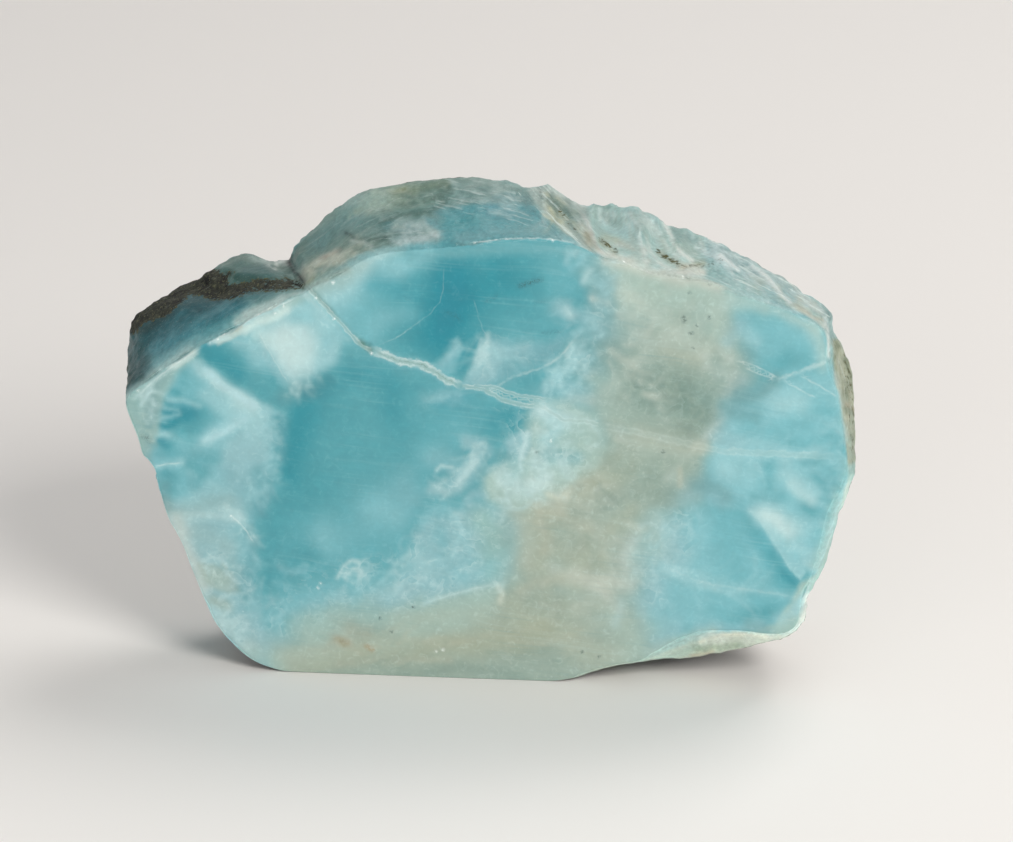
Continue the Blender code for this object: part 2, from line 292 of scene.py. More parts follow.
# The deep blue window at the top of the sawn face, and the teal field below the vein
BLUE_GROUND = (
    area(TEAL, 0.85, 13, (372, 306), (386, 280), (425, 264), (445, 250), (500, 243), (560, 245),
         (592, 262), (600, 300), (588, 328), (560, 338), (520, 335), (488, 338), (470, 374), (430, 362),
         (396, 348), (378, 332))
    + stroke(DEEP, 0.75, 20, (500, 272), (470, 296), (452, 312), (434, 336), (452, 348))
    + stroke(DEEP, 0.6, 13, (446, 272), (462, 288))
    + stroke(ABYSS, 0.75, 14, (458, 274), (456, 296), (448, 318), (440, 332))
    + stroke(DEEP, 0.45, 14, (504, 282), (534, 290))
    + stroke(DEEP, 0.4, 12, (404, 292), (424, 300), (418, 318))
    + stroke(BLUE, 0.7, 7, (450, 252), (480, 250), (520, 247), (560, 250))
    + stroke(BLUE, 0.45, 14, (540, 296), (556, 306))
    + stroke(CYAN, 0.6, 12, (556, 262), (568, 288))
    + stroke(CYAN, 0.35, 15, (520, 330), (556, 324))
    + stroke(CYAN, 0.75, 18, (356, 322), (366, 300), (382, 286))
    + stroke(TEAL, 0.45, 9, (388, 294), (402, 286), (396, 300))
    + stroke(SKY, 0.6, 12, (386, 318), (378, 328))
    + stroke(SKY, 0.35, 8, (404, 312), (412, 314))
    + stroke(SKY, 0.9, 15, (322, 308), (344, 298), (360, 282))
    + stroke(PALE, 0.75, 11, (322, 300), (344, 284), (362, 272))
    + stroke(PALE, 0.7, 6, (360, 268), (376, 258), (392, 252))
    + stroke(PALE, 0.6, 8, (382, 262), (390, 266), (398, 268))
    + stroke(SKY, 0.75, 10, (388, 270), (408, 262), (424, 256))
    + stroke(MILK, 0.45, 3, (362, 266), (374, 258), (386, 252))
    + stroke((158, 190, 188), 0.8, 9, (298, 296), (318, 290), (342, 278), (362, 264))
    + stroke(MILK, 0.45, 2.6, (302, 290), (316, 306), (332, 323), (348, 339))
    + stroke((96, 136, 128), 0.6, 2.0, (306, 284), (320, 299), (338, 318), (352, 333), (362, 343))
    + stroke((84, 122, 110), 0.9, 2.4, (361, 342), (366, 347), (370, 350))
    + stroke((160, 176, 166), 0.7, 4, (312, 284), (328, 276), (346, 268))
    + stroke((150, 190, 190), 0.6, 5, (366, 256), (384, 252), (400, 250))
    + stroke((118, 174, 180), 0.5, 5, (410, 256), (440, 252), (470, 250), (520, 248), (556, 250))
    + stroke((136, 178, 180), 0.7, 6, (570, 252), (592, 258), (600, 266))
    + stroke((140, 177, 176), 0.6, 7, (584, 268), (602, 280))
    + stroke(SKY, 0.6, 8, (340, 322), (346, 334))
    + stroke(CYAN, 0.5, 8, (352, 334), (364, 330))
    + area(TEAL, 0.85, 13, (283, 400), (318, 382), (352, 366), (400, 372), (440, 388), (500, 402),
           (532, 410), (530, 428), (504, 438), (488, 452), (452, 480), (432, 510), (410, 548), (372, 566),
           (310, 574), (268, 590), (256, 560), (262, 524), (278, 490), (286, 450))
    + stroke(BLUE, 0.45, 20, (330, 440), (350, 480), (330, 520))
    + stroke(BLUE, 0.5, 18, (356, 392), (366, 420), (376, 460))
    + stroke(CYAN, 0.3, 17, (420, 412), (446, 418), (486, 410))
    + stroke(CYAN, 0.55, 17, (420, 452), (440, 444), (456, 432))
    + stroke(CYAN, 0.4, 12, (408, 476), (424, 500))
    + stroke(DEEP, 0.7, 12, (308, 394), (297, 416), (294, 446), (288, 474))
    + stroke(DEEP, 0.4, 14, (312, 420), (306, 440))
    + stroke(DEEP, 0.45, 11, (320, 386), (344, 374), (366, 372))
    + stroke(DEEP, 0.35, 11, (388, 378), (394, 398), (390, 414))
    + stroke(DEEP, 0.35, 9, (500, 420), (520, 420))
    + stroke(CYAN, 0.3, 16, (292, 534), (280, 562))
    + stroke(SKY, 0.5, 22, (372, 506), (398, 520))
    + stroke(SKY, 0.7, 13, (376, 508), (392, 516))
    + stroke(HAZE, 0.4, 11, (430, 458), (454, 464), (480, 478))
    + stroke(SKY, 0.35, 14, (326, 540), (348, 536), (372, 528))
    + stroke(HAZE, 0.45, 10, (306, 604), (350, 602), (392, 596))
    + stroke(FERN, 0.5, 11, (268, 644), (300, 632), (330, 622))
    + stroke(SKY, 0.4, 16, (322, 532), (340, 548))
    + stroke(SKY, 0.5, 9, (328, 540), (332, 548))
    + stroke(HAZE, 0.3, 14, (398, 486), (410, 496))
    + stroke(CYAN, 0.6, 16, (344, 556), (390, 550))
    + stroke(CYAN, 0.5, 16, (288, 594), (330, 588), (372, 582))
    + stroke(TEAL, 0.4, 10, (262, 582), (286, 584))
    + stroke(SKY, 0.55, 14, (262, 612), (300, 604), (352, 596), (392, 582))
    + stroke(CYAN, 0.5, 11, (266, 614), (280, 632))
    + stroke(HAZE, 0.7, 15, (240, 632), (256, 646), (284, 650))
    + stroke(FERN, 0.45, 9, (292, 624), (316, 614), (340, 610))
    + stroke(HAZE, 0.3, 3.5, (280, 566), (292, 572), (304, 570))
    + stroke(SKY, 0.4, 4, (276, 582), (290, 586))
    + stroke((72, 158, 170), 0.6, 9, (376, 284), (402, 288), (414, 285))
    + stroke(ABYSS, 0.6, 12, (440, 284), (441, 300), (446, 316))
    + stroke((62, 148, 160), 0.6, 8, (464, 338), (482, 338))
    + stroke((82, 161, 174), 0.6, 8, (444, 399), (462, 398))
    + stroke((172, 198, 192), 0.45, 8, (366, 602), (396, 592))
    + curls(SKY, 0.4, 1.8, [(274, 560), (320, 556), (324, 580), (280, 584)], 6, 14, 102)
    + fibres(HAZE, 0.28, 1.8, [(250, 604), (330, 606), (352, 592)], -28, 26, 30, 101, 25)
    + curls(PALE, 0.35, 1.8, [(262, 600), (330, 598), (334, 622), (264, 634)], 6, 22, 103)
)

# The pale cell at the left, with its dark fingers, white rays and fibrous wall
LEFT_CELL = (
    area(SKY, 0.9, 9, (150, 388), (196, 360), (232, 380), (262, 398), (278, 418), (280, 450), (274, 484),
         (262, 508), (246, 522), (172, 524), (160, 478), (146, 456), (150, 420))
    + area(HAZE, 0.85, 12, (222, 440), (236, 422), (264, 410), (274, 430), (274, 462), (264, 484),
           (248, 502), (232, 494), (218, 470))
    + stroke(HAZE, 0.5, 10, (196, 488), (214, 494), (240, 506))
    + area(CYAN, 0.85, 9, (168, 384), (190, 368), (206, 380), (228, 404), (240, 414), (222, 428),
           (200, 440), (172, 440), (166, 410))
    + stroke(TEAL, 0.8, 11, (176, 416), (196, 414))
    + stroke((54, 143, 158), 0.8, 8, (174, 412), (190, 413))
    + stroke(TEAL, 0.5, 9, (190, 428), (204, 426))
    + stroke(SKY, 0.6, 8, (212, 430), (230, 424))
    + stroke(TEAL, 0.35, 5, (186, 372), (184, 380))
    + stroke(TEAL, 0.75, 3.2, (172, 391), (178, 393))
    + stroke(TEAL, 0.65, 2.6, (165, 402), (170, 406))
    + stroke(DEEP, 0.7, 2.6, (163, 411), (170, 414))
    + stroke(DEEP, 0.85, 3.2, (160, 425), (166, 427), (174, 424))
    + stroke(DEEP, 0.5, 5, (172, 420), (184, 418))
    + stroke(TEAL, 0.6, 4.5, (182, 432), (192, 430))
    + stroke(DEEP, 0.8, 5.2, (158, 441), (168, 446))
    + stroke(TEAL, 0.5, 6, (172, 449), (180, 452))
    + stroke(BLUE, 0.65, 9, (196, 463), (214, 462))
    + stroke(TEAL, 0.6, 5, (166, 472), (176, 476))
    + stroke(TEAL, 0.6, 5.5, (168, 486), (174, 494))
    + stroke(CYAN, 0.7, 10, (188, 476), (176, 496))
    + stroke(PALE, 0.5, 2.4, (168, 400), (182, 400), (200, 406))
    + stroke(PALE, 0.4, 1.9, (160, 418), (170, 417), (180, 414))
    + stroke(PALE, 0.35, 1.9, (160, 407), (170, 409), (178, 410))
    + stroke(PALE, 0.75, 2.4, (152, 436), (164, 434), (176, 438), (188, 443))
    + stroke(PALE, 0.6, 4.5, (186, 445), (208, 440), (230, 428), (246, 420))
    + stroke(SKY, 0.5, 7, (190, 446), (214, 438), (236, 428))
    + stroke(PALE, 0.7, 2.6, (156, 467), (166, 464), (182, 463))
    + stroke(PALE, 0.4, 2.2, (156, 457), (168, 458), (182, 460))
    + stroke(PALE, 0.45, 3.6, (190, 472), (212, 484), (232, 498), (242, 510))
    + stroke(PALE, 0.75, 13, (214, 392), (238, 408), (254, 416))
    + stroke(PALE, 0.85, 6, (200, 364), (214, 378), (238, 396), (258, 408))
    + stroke(MILK, 0.5, 4.5, (198, 362), (208, 373), (222, 385), (242, 398), (256, 406))
    + stroke(MILK, 0.4, 7, (236, 402), (250, 410))
    + stroke(PALE, 0.4, 8, (252, 420), (258, 436))
    + stroke((66, 144, 152), 0.7, 4.5, (206, 354), (216, 362), (230, 372))
    + stroke((106, 168, 176), 0.7, 6, (190, 452), (206, 456), (204, 474), (196, 484))
    + stroke((124, 176, 184), 0.5, 7, (228, 470), (242, 482), (238, 496))
    + stroke((112, 168, 176), 0.5, 7, (258, 470), (266, 486), (262, 500))
    + stroke((100, 164, 172), 0.6, 5, (276, 424), (279, 444), (277, 462), (272, 480))
    + stroke((166, 208, 213), 0.6, 5, (208, 436), (228, 426), (244, 417))
    + stroke((124, 180, 186), 0.6, 4, (198, 361), (205, 367))
    + stroke((122, 180, 186), 0.7, 6, (228, 372), (240, 380), (252, 388))
    + stroke((90, 154, 164), 0.7, 5, (280, 420), (282, 440), (281, 460))
    + stroke((98, 170, 178), 0.7, 5, (176, 438), (190, 441))
    + stroke((92, 164, 172), 0.6, 6, (192, 466), (202, 474))
    + stroke((92, 164, 174), 0.6, 5, (158, 456), (172, 456))
    + stroke((92, 152, 162), 0.6, 6, (263, 496), (260, 512))
    + stroke((182, 218, 222), 0.7, 3.4, (206, 370), (222, 384), (240, 397), (254, 405))
    + stroke((184, 220, 224), 0.6, 3, (204, 441), (226, 432), (244, 420))
    + area(FERN, 0.7, 6, (120, 397), (138, 384), (176, 360), (196, 348), (200, 354), (188, 364),
           (176, 376), (166, 392), (158, 412), (157, 430), (150, 444), (146, 464), (136, 456), (126, 425))
    + area((140, 177, 175), 0.65, 5, (136, 392), (160, 384), (162, 404), (154, 432), (140, 438),
           (132, 412))
    + stroke((130, 168, 170), 0.6, 6, (150, 410), (147, 436), (148, 462))
    + stroke(TEAL, 0.4, 7, (166, 476), (170, 500))
    + stroke(TEAL, 0.45, 8, (258, 478), (252, 500), (244, 512))
    + stroke(CYAN, 0.45, 7, (178, 452), (192, 444))
    + stroke(PALE, 0.5, 6, (204, 394), (226, 412), (240, 420))
    + stroke((118, 156, 156), 0.55, 6, (150, 374), (168, 366))
    + stroke((132, 170, 170), 0.7, 7, (166, 378), (150, 392), (154, 406), (148, 420))
    + stroke((66, 142, 148), 0.8, 4, (197, 354), (206, 350))
    + stroke((186, 214, 212), 0.85, 4, (176, 364), (186, 356), (196, 350))
    + stroke(MILK, 0.45, 2.0, (134, 398), (148, 386), (172, 368), (192, 356))
    + stroke(MILK, 0.5, 1.8, (141, 405), (147, 396), (151, 388))
    + fibres(MILK, 0.45, 1.8, [(138, 396), (152, 392), (150, 420)], 60, 11, 26, 111, 60)
    + fibres(FERN, 0.4, 1.8, [(140, 410), (148, 430), (144, 450)], 40, 12, 20, 112, 60)
    + fibres(PALE, 0.28, 1.8, [(266, 408), (274, 428), (275, 450), (271, 472), (262, 496)], 98, 22, 90,
             113, 12)
    + fibres(TEAL, 0.22, 1.8, [(280, 408), (281, 440), (277, 470), (266, 500)], 186, 22, 70, 114, 14)
    + fibres(PALE, 0.2, 1.8, [(230, 470), (250, 480), (256, 500)], 60, 24, 30, 115, 30)
)

# The pale, wispy lower left edge below the cell
LOWER_LEFT = (
    area(HAZE, 0.85, 9, (150, 500), (240, 500), (252, 545), (248, 580), (256, 616), (280, 690),
         (230, 680), (190, 620), (176, 580), (164, 546))
    + stroke(MILK, 0.7, 6, (162, 516), (182, 518), (200, 514), (222, 513), (236, 517))
    + stroke(PALE, 0.6, 8, (170, 506), (200, 503), (226, 508))
    + stroke((152, 188, 190), 0.85, 10, (196, 534), (212, 544), (230, 550))
    + stroke((112, 158, 162), 0.6, 5, (166, 486), (168, 500))
    + stroke((136, 166, 166), 0.6, 5, (162, 500), (168, 508))
    + stroke(BLUE, 0.5, 8, (248, 534), (250, 566), (250, 604))
    + stroke((190, 206, 202), 0.9, 8, (176, 520), (184, 542), (192, 562), (202, 586))
    + stroke((108, 166, 174), 0.75, 7, (250, 546), (248, 566), (246, 592))
    + stroke((140, 179, 180), 0.5, 6, (230, 560), (234, 572))
    + stroke((176, 198, 194), 0.5, 8, (214, 606), (232, 632), (256, 650))
    + stroke(SKY, 0.35, 7, (236, 532), (246, 556))
    + area(SAGE, 0.6, 4, (198, 566), (214, 564), (230, 572), (242, 590), (230, 594), (214, 588),
           (204, 584))
    + stroke(FERN, 0.5, 5, (212, 574), (226, 584))
    + stroke(SAGE, 0.6, 5, (212, 600), (226, 606))
    + stroke(OLIVE, 0.6, 2.0, (216, 602), (222, 604))
    + stroke(OLIVE, 0.6, 1.9, (223, 565), (226, 568))
    + stroke(MILK, 0.65, 3.4, (164, 522), (178, 544), (188, 566))
    + stroke(MILK, 0.5, 3, (200, 590), (212, 614), (224, 632))
    + stroke(MILK, 0.5, 2.0, (203, 561), (212, 557), (222, 560), (226, 566))
    + stroke(MILK, 0.4, 2.0, (222, 596), (240, 594), (254, 588))
    + stroke(MILK, 0.35, 2.0, (226, 572), (238, 582), (252, 592))
    + stroke(PALE, 0.35, 6, (214, 610), (232, 622), (242, 640))
    + stroke(FERN, 0.5, 9, (246, 660), (276, 662))
    + curls(MILK, 0.38, 1.8, [(206, 556), (240, 556), (256, 596), (238, 606), (214, 598)], 8, 20, 121)
    + fibres(MILK, 0.35, 1.8, [(214, 612), (240, 636)], -24, 26, 18, 122, 16)
    + fibres(MILK, 0.35, 1.8, [(222, 502), (238, 518), (250, 540)], 52, 22, 18, 123, 14)
    + fibres(PALE, 0.25, 1.8, [(240, 524), (252, 560), (252, 600)], 80, 26, 30, 124, 20)
)

# The dark patch, the white patch and the chipped edge at the upper left
UPPER_LEFT = (
    area(TEAL, 0.85, 7, (198, 346), (220, 338), (246, 334), (262, 352), (280, 384), (296, 400),
         (278, 406), (256, 396), (230, 380), (206, 362))
    + stroke(DEEP, 0.6, 8, (206, 350), (220, 360), (238, 372))
    + stroke(CYAN, 0.75, 8, (238, 338), (252, 352), (264, 370))
    + stroke(SKY, 0.5, 6, (244, 334), (258, 346), (270, 362))
    + stroke(BLUE, 0.5, 7, (256, 380), (276, 394))
    + stroke(HAZE, 0.45, 4, (264, 350), (274, 366), (284, 382))
    + area(PALE, 0.9, 8, (244, 322), (262, 310), (292, 298), (318, 308), (336, 326), (342, 344),
           (330, 364), (308, 380), (288, 386), (273, 362), (260, 338))
    + area(MILK, 0.85, 9, (262, 330), (282, 324), (306, 328), (318, 344), (310, 368), (292, 380),
           (277, 362), (266, 344))
    + stroke(SKY, 0.5, 6, (296, 316), (308, 318))
    + stroke(SKY, 0.5, 9, (328, 342), (338, 334))
    + stroke(WHITE, 0.35, 9, (282, 340), (292, 352))
    + stroke(MILK, 0.55, 7, (290, 350), (306, 364))
    + stroke(PALE, 0.25, 6, (300, 374), (320, 366), (334, 356))
    + stroke(BLUE, 0.45, 9, (290, 388), (312, 382), (332, 376))
    + stroke(PALE, 0.5, 7, (236, 340), (250, 348), (258, 360))
    + stroke((196, 216, 210), 0.6, 3, (242, 323), (254, 318), (266, 313))
    + area(CYAN, 0.5, 4, (258, 344), (266, 350), (276, 364), (288, 382), (280, 387), (266, 368))
    + stroke(SKY, 0.45, 4.5, (248, 328), (258, 340), (268, 358))
    + stroke(FERN, 0.5, 5, (244, 320), (264, 313), (296, 299))
    + area((188, 210, 205), 0.9, 2.4, (214, 340), (222, 334), (232, 328), (242, 323), (250, 326),
           (240, 335), (228, 341), (218, 345))
    + stroke((164, 162, 138), 0.6, 1.9, (224, 333), (232, 330), (241, 327))
    + stroke((202, 226, 222), 0.85, 4, (244, 331), (256, 324), (270, 317), (286, 309))
    + stroke((186, 216, 214), 0.6, 6, (256, 336), (266, 340))
    + stroke((100, 156, 162), 0.75, 8, (286, 396), (298, 390), (312, 388))
    + stroke((70, 141, 151), 0.75, 7, (304, 393), (316, 389), (326, 381))
    + stroke((150, 198, 203), 0.5, 6, (256, 346), (264, 354))
    + stroke(MILK, 0.8, 2.2, (210, 343), (219, 340), (228, 338))
    + area((190, 212, 208), 0.85, 2.4, (166, 368), (178, 356), (192, 348), (197, 353), (188, 361),
           (176, 368))
    + stroke((168, 168, 146), 0.5, 1.9, (182, 355), (192, 350), (199, 346))
    + stroke(PALE, 0.5, 2.4, (244, 324), (260, 315), (276, 308))
    + fibres(MILK, 0.25, 1.8, [(286, 386), (300, 380), (322, 372)], 76, 16, 26, 131, 14)
    + fibres(HAZE, 0.3, 1.8, [(262, 344), (272, 360), (284, 380)], 62, 18, 24, 133, 8)
)

# The clouded grey-green band that crosses the face and runs along its foot
GREEN_BAND = (
    area(SAGE, 0.95, 24, (614, 246), (640, 256), (690, 266), (738, 290), (744, 340), (748, 376),
         (730, 420), (706, 462), (690, 500), (658, 520), (644, 556), (634, 600), (648, 640), (648, 700),
         (560, 710), (420, 710), (280, 700), (284, 656), (330, 634), (420, 606), (456, 596), (500, 582),
         (510, 540), (516, 508), (545, 498), (580, 470), (600, 440), (592, 420), (592, 396), (612, 362),
         (622, 326))
    + stroke(MOSS, 0.75, 13, (300, 660), (340, 650), (420, 650), (490, 640), (540, 628))
    + stroke(FERN, 0.7, 13, (310, 630), (340, 620), (380, 616), (430, 612), (480, 600))
    + stroke((176, 193, 179), 0.6, 10, (400, 622), (440, 620), (476, 618))
    + stroke(FERN, 0.4, 9, (380, 648), (420, 636), (460, 624))
    + stroke((176, 190, 176), 0.7, 12, (276, 664), (310, 650), (346, 640))
    + stroke((137, 172, 172), 0.6, 11, (600, 288), (610, 316), (604, 346))
    + stroke((128, 168, 167), 0.6, 12, (606, 348), (602, 364), (594, 380))
    + stroke(MOSS, 0.7, 18, (530, 520), (560, 500), (590, 480), (620, 470))
    + stroke((192, 200, 187), 0.5, 10, (540, 504), (562, 500), (580, 486))
    + stroke(MOSS, 0.6, 16, (532, 560), (560, 566), (600, 560))
    + stroke(FERN, 0.7, 18, (624, 276), (664, 292), (634, 304))
    + stroke(FERN, 0.6, 14, (688, 288), (722, 304), (716, 326))
    + stroke((154, 178, 172), 0.6, 12, (622, 322), (640, 318), (634, 330))
    + stroke((192, 200, 189), 0.8, 6, (606, 260), (634, 268), (668, 276), (700, 282), (718, 288))
    + stroke((182, 197, 186), 0.6, 9, (622, 292), (644, 302), (656, 312))
    + stroke((173, 190, 179), 0.5, 9, (660, 340), (682, 340), (704, 346), (724, 354))
    + stroke(SAND, 0.3, 8, (664, 352), (690, 360), (712, 358))
    + stroke((140, 166, 159), 0.75, 18, (616, 352), (632, 366), (646, 384))
    + stroke((134, 160, 150), 0.75, 20, (648, 388), (668, 402), (692, 404))
    + stroke((122, 149, 138), 0.85, 17, (662, 394), (684, 396), (706, 410))
    + stroke((122, 167, 170), 0.8, 9, (572, 352), (586, 358), (594, 368))
    + stroke((130, 168, 169), 0.75, 9, (600, 276), (602, 294), (600, 322))
    + stroke((130, 152, 140), 0.75, 12, (662, 422), (682, 430))
    + stroke((120, 157, 157), 0.75, 8, (601, 282), (602, 300), (600, 320))
    + stroke((154, 178, 168), 0.6, 9, (654, 302), (664, 318))
    + curls((200, 208, 196), 0.36, 2.2,
            [(520, 500), (600, 450), (640, 440), (650, 520), (600, 620), (520, 620)], 13, 46, 143)
    + curls((124, 148, 138), 0.3, 3,
            [(520, 500), (600, 450), (640, 440), (650, 520), (600, 620), (520, 620)], 16, 24, 144)
    + curls((194, 205, 194), 0.3, 2.2, [(620, 280), (700, 290), (730, 330), (700, 420), (620, 400)], 14,
            26, 145)
    + stroke((146, 178, 174), 0.4, 8, (556, 560), (566, 574), (560, 590))
    + stroke((150, 182, 186), 0.45, 9, (736, 384), (728, 410), (716, 440))
    + fibres((196, 210, 203), 0.35, 2.4, [(712, 350), (724, 396), (708, 450)], -38, 28, 36, 146, 26)
    + stroke((112, 140, 130), 0.6, 14, (670, 388), (696, 396))
    + stroke((120, 149, 140), 0.7, 10, (634, 368), (648, 384), (657, 408))
    + stroke((136, 165, 158), 0.7, 8, (715, 362), (722, 378))
    + stroke((138, 159, 147), 0.6, 12, (612, 462), (640, 472), (678, 472))
    + stroke((134, 158, 147), 0.5, 10, (650, 486), (666, 494))
    + stroke((152, 180, 173), 0.5, 9, (514, 516), (518, 544), (514, 574))
    + stroke((184, 197, 188), 0.55, 5, (554, 572), (580, 578), (602, 591), (615, 609))
    + stroke((184, 199, 190), 0.5, 5, (638, 526), (633, 548), (628, 576))
    + stroke((186, 198, 190), 0.5, 6, (574, 397), (592, 400))
    + stroke((188, 202, 192), 0.5, 4, (668, 478), (680, 462), (696, 446))
    + fibres((208, 220, 214), 0.45, 2.2, [(660, 520), (664, 550), (672, 574)], 66, 24, 26, 147, 26)
    + stroke((145, 171, 163), 0.6, 8, (698, 312), (704, 324))
    + fibres((192, 203, 192), 0.36, 2.6, [(610, 340), (640, 380), (660, 420)], 20, 34, 30, 140, 22)
    + fibres((196, 204, 190), 0.36, 2.6, [(560, 500), (600, 540), (640, 580)], 70, 30, 36, 141, 34)
    + fibres((122, 146, 136), 0.36, 2.8, [(570, 480), (620, 500), (650, 540)], 60, 28, 26, 142, 30)
    + stroke((132, 164, 157), 0.6, 13, (706, 396), (722, 402))
    + stroke((156, 182, 174), 0.6, 9, (596, 378), (610, 394), (606, 412))
    + stroke((148, 172, 162), 0.55, 12, (618, 412), (640, 418), (660, 420))
    + stroke(SAGE, 0.6, 9, (640, 438), (676, 442), (700, 446))
    + stroke(SAND, 0.3, 7, (640, 436), (676, 446), (700, 448))
    + stroke(SAND, 0.4, 4, (694, 446), (708, 448), (716, 452))
    + stroke((150, 170, 158), 0.6, 10, (660, 464), (680, 462))
    + stroke(OLIVE, 0.4, 9, (630, 486), (650, 480))
    + stroke((142, 163, 152), 0.7, 12, (632, 496), (652, 500), (668, 498))
    + stroke((136, 166, 160), 0.7, 10, (676, 494), (690, 504))
    + stroke((167, 186, 177), 0.6, 7, (674, 478), (684, 484))
    + stroke(MOSS, 0.5, 11, (634, 516), (620, 526))
    + stroke((157, 172, 159), 0.6, 12, (574, 516), (592, 520), (600, 530))
    + stroke((152, 166, 150), 0.5, 9, (574, 536), (586, 546))
    + stroke((176, 186, 172), 0.6, 11, (514, 518), (520, 540), (524, 560))
    + stroke((163, 175, 159), 0.5, 13, (540, 548), (562, 556), (586, 560))
    + stroke((181, 190, 173), 0.6, 8, (566, 580), (584, 582), (602, 582))
    + stroke(MOSS, 0.5, 15, (512, 606), (530, 616), (570, 634))
    + stroke((157, 168, 151), 0.6, 10, (548, 600), (564, 604))
    + stroke((176, 187, 172), 0.6, 10, (580, 608), (600, 606))
    + stroke((178, 187, 170), 0.6, 13, (570, 640), (592, 650), (612, 656))
    + stroke((158, 169, 152), 0.5, 9, (512, 642), (530, 646))
    + stroke(OLIVE, 0.5, 5, (400, 674), (460, 668), (520, 674))
    + stroke(SAND, 0.35, 3, (340, 664), (400, 660), (450, 660))
    + stroke((170, 191, 180), 0.6, 13, (610, 620), (626, 640), (626, 656))
    + stroke((170, 186, 175), 0.6, 9, (618, 550), (620, 566))
    + stroke((188, 198, 187), 0.7, 8, (596, 582), (616, 582), (630, 586))
    + stroke((196, 203, 190), 0.5, 6, (572, 576), (594, 582), (608, 592))
    + stroke(MILK, 0.3, 5, (620, 602), (616, 624))
    + stroke(SAND, 0.35, 5, (560, 580), (540, 584), (520, 592))
    + stroke(SAND, 0.4, 7, (560, 512), (584, 526), (604, 532))
    + stroke(SAND, 0.35, 5, (540, 516), (548, 536), (546, 552))
    + stroke(CREAM, 0.45, 3.5, (630, 524), (640, 530), (646, 528))
    + stroke((196, 208, 200), 0.5, 5, (632, 542), (626, 562), (634, 580))
    + stroke((171, 196, 188), 0.6, 8, (640, 552), (636, 574))
    + stroke((166, 194, 190), 0.6, 9, (638, 606), (642, 630))
    + stroke(SAND, 0.4, 2.5, (680, 470), (680, 486))
    + stroke(RUST, 0.45, 4, (336, 640), (346, 644))
    + stroke(STAIN, 0.5, 1.8, (341, 641), (345, 645))
    + stroke(RUST, 0.75, 1.8, (366, 646), (373, 650))
    + stroke(RUST, 0.2, 7, (350, 626), (366, 632))
    + stroke((190, 204, 194), 0.25, 5, (610, 274), (650, 310), (700, 356), (730, 382))
    + stroke((190, 204, 194), 0.22, 6, (730, 300), (690, 330), (650, 346), (604, 392))
    + stroke((182, 196, 184), 0.25, 5, (612, 430), (640, 446), (690, 456))
    + fibres(FERN, 0.25, 4, [(610, 270), (680, 290), (736, 320)], 130, 60, 14, 141, 20)
    + fibres(FERN, 0.22, 4, [(600, 440), (650, 470), (620, 540)], 110, 60, 14, 142, 30)
    + fibres(OLIVE, 0.22, 5, [(620, 370), (680, 380), (720, 400)], 60, 46, 12, 143, 30)
    + fibres(OLIVE, 0.2, 5, [(530, 520), (600, 510), (600, 620)], 70, 50, 14, 147, 30)
    + fibres(SAND, 0.3, 1.8, [(300, 650), (420, 640), (560, 640)], -6, 60, 30, 144, 8)
    + fibres(OLIVE, 0.3, 1.8, [(320, 668), (420, 664), (560, 662)], -2, 60, 26, 145, 6)
)

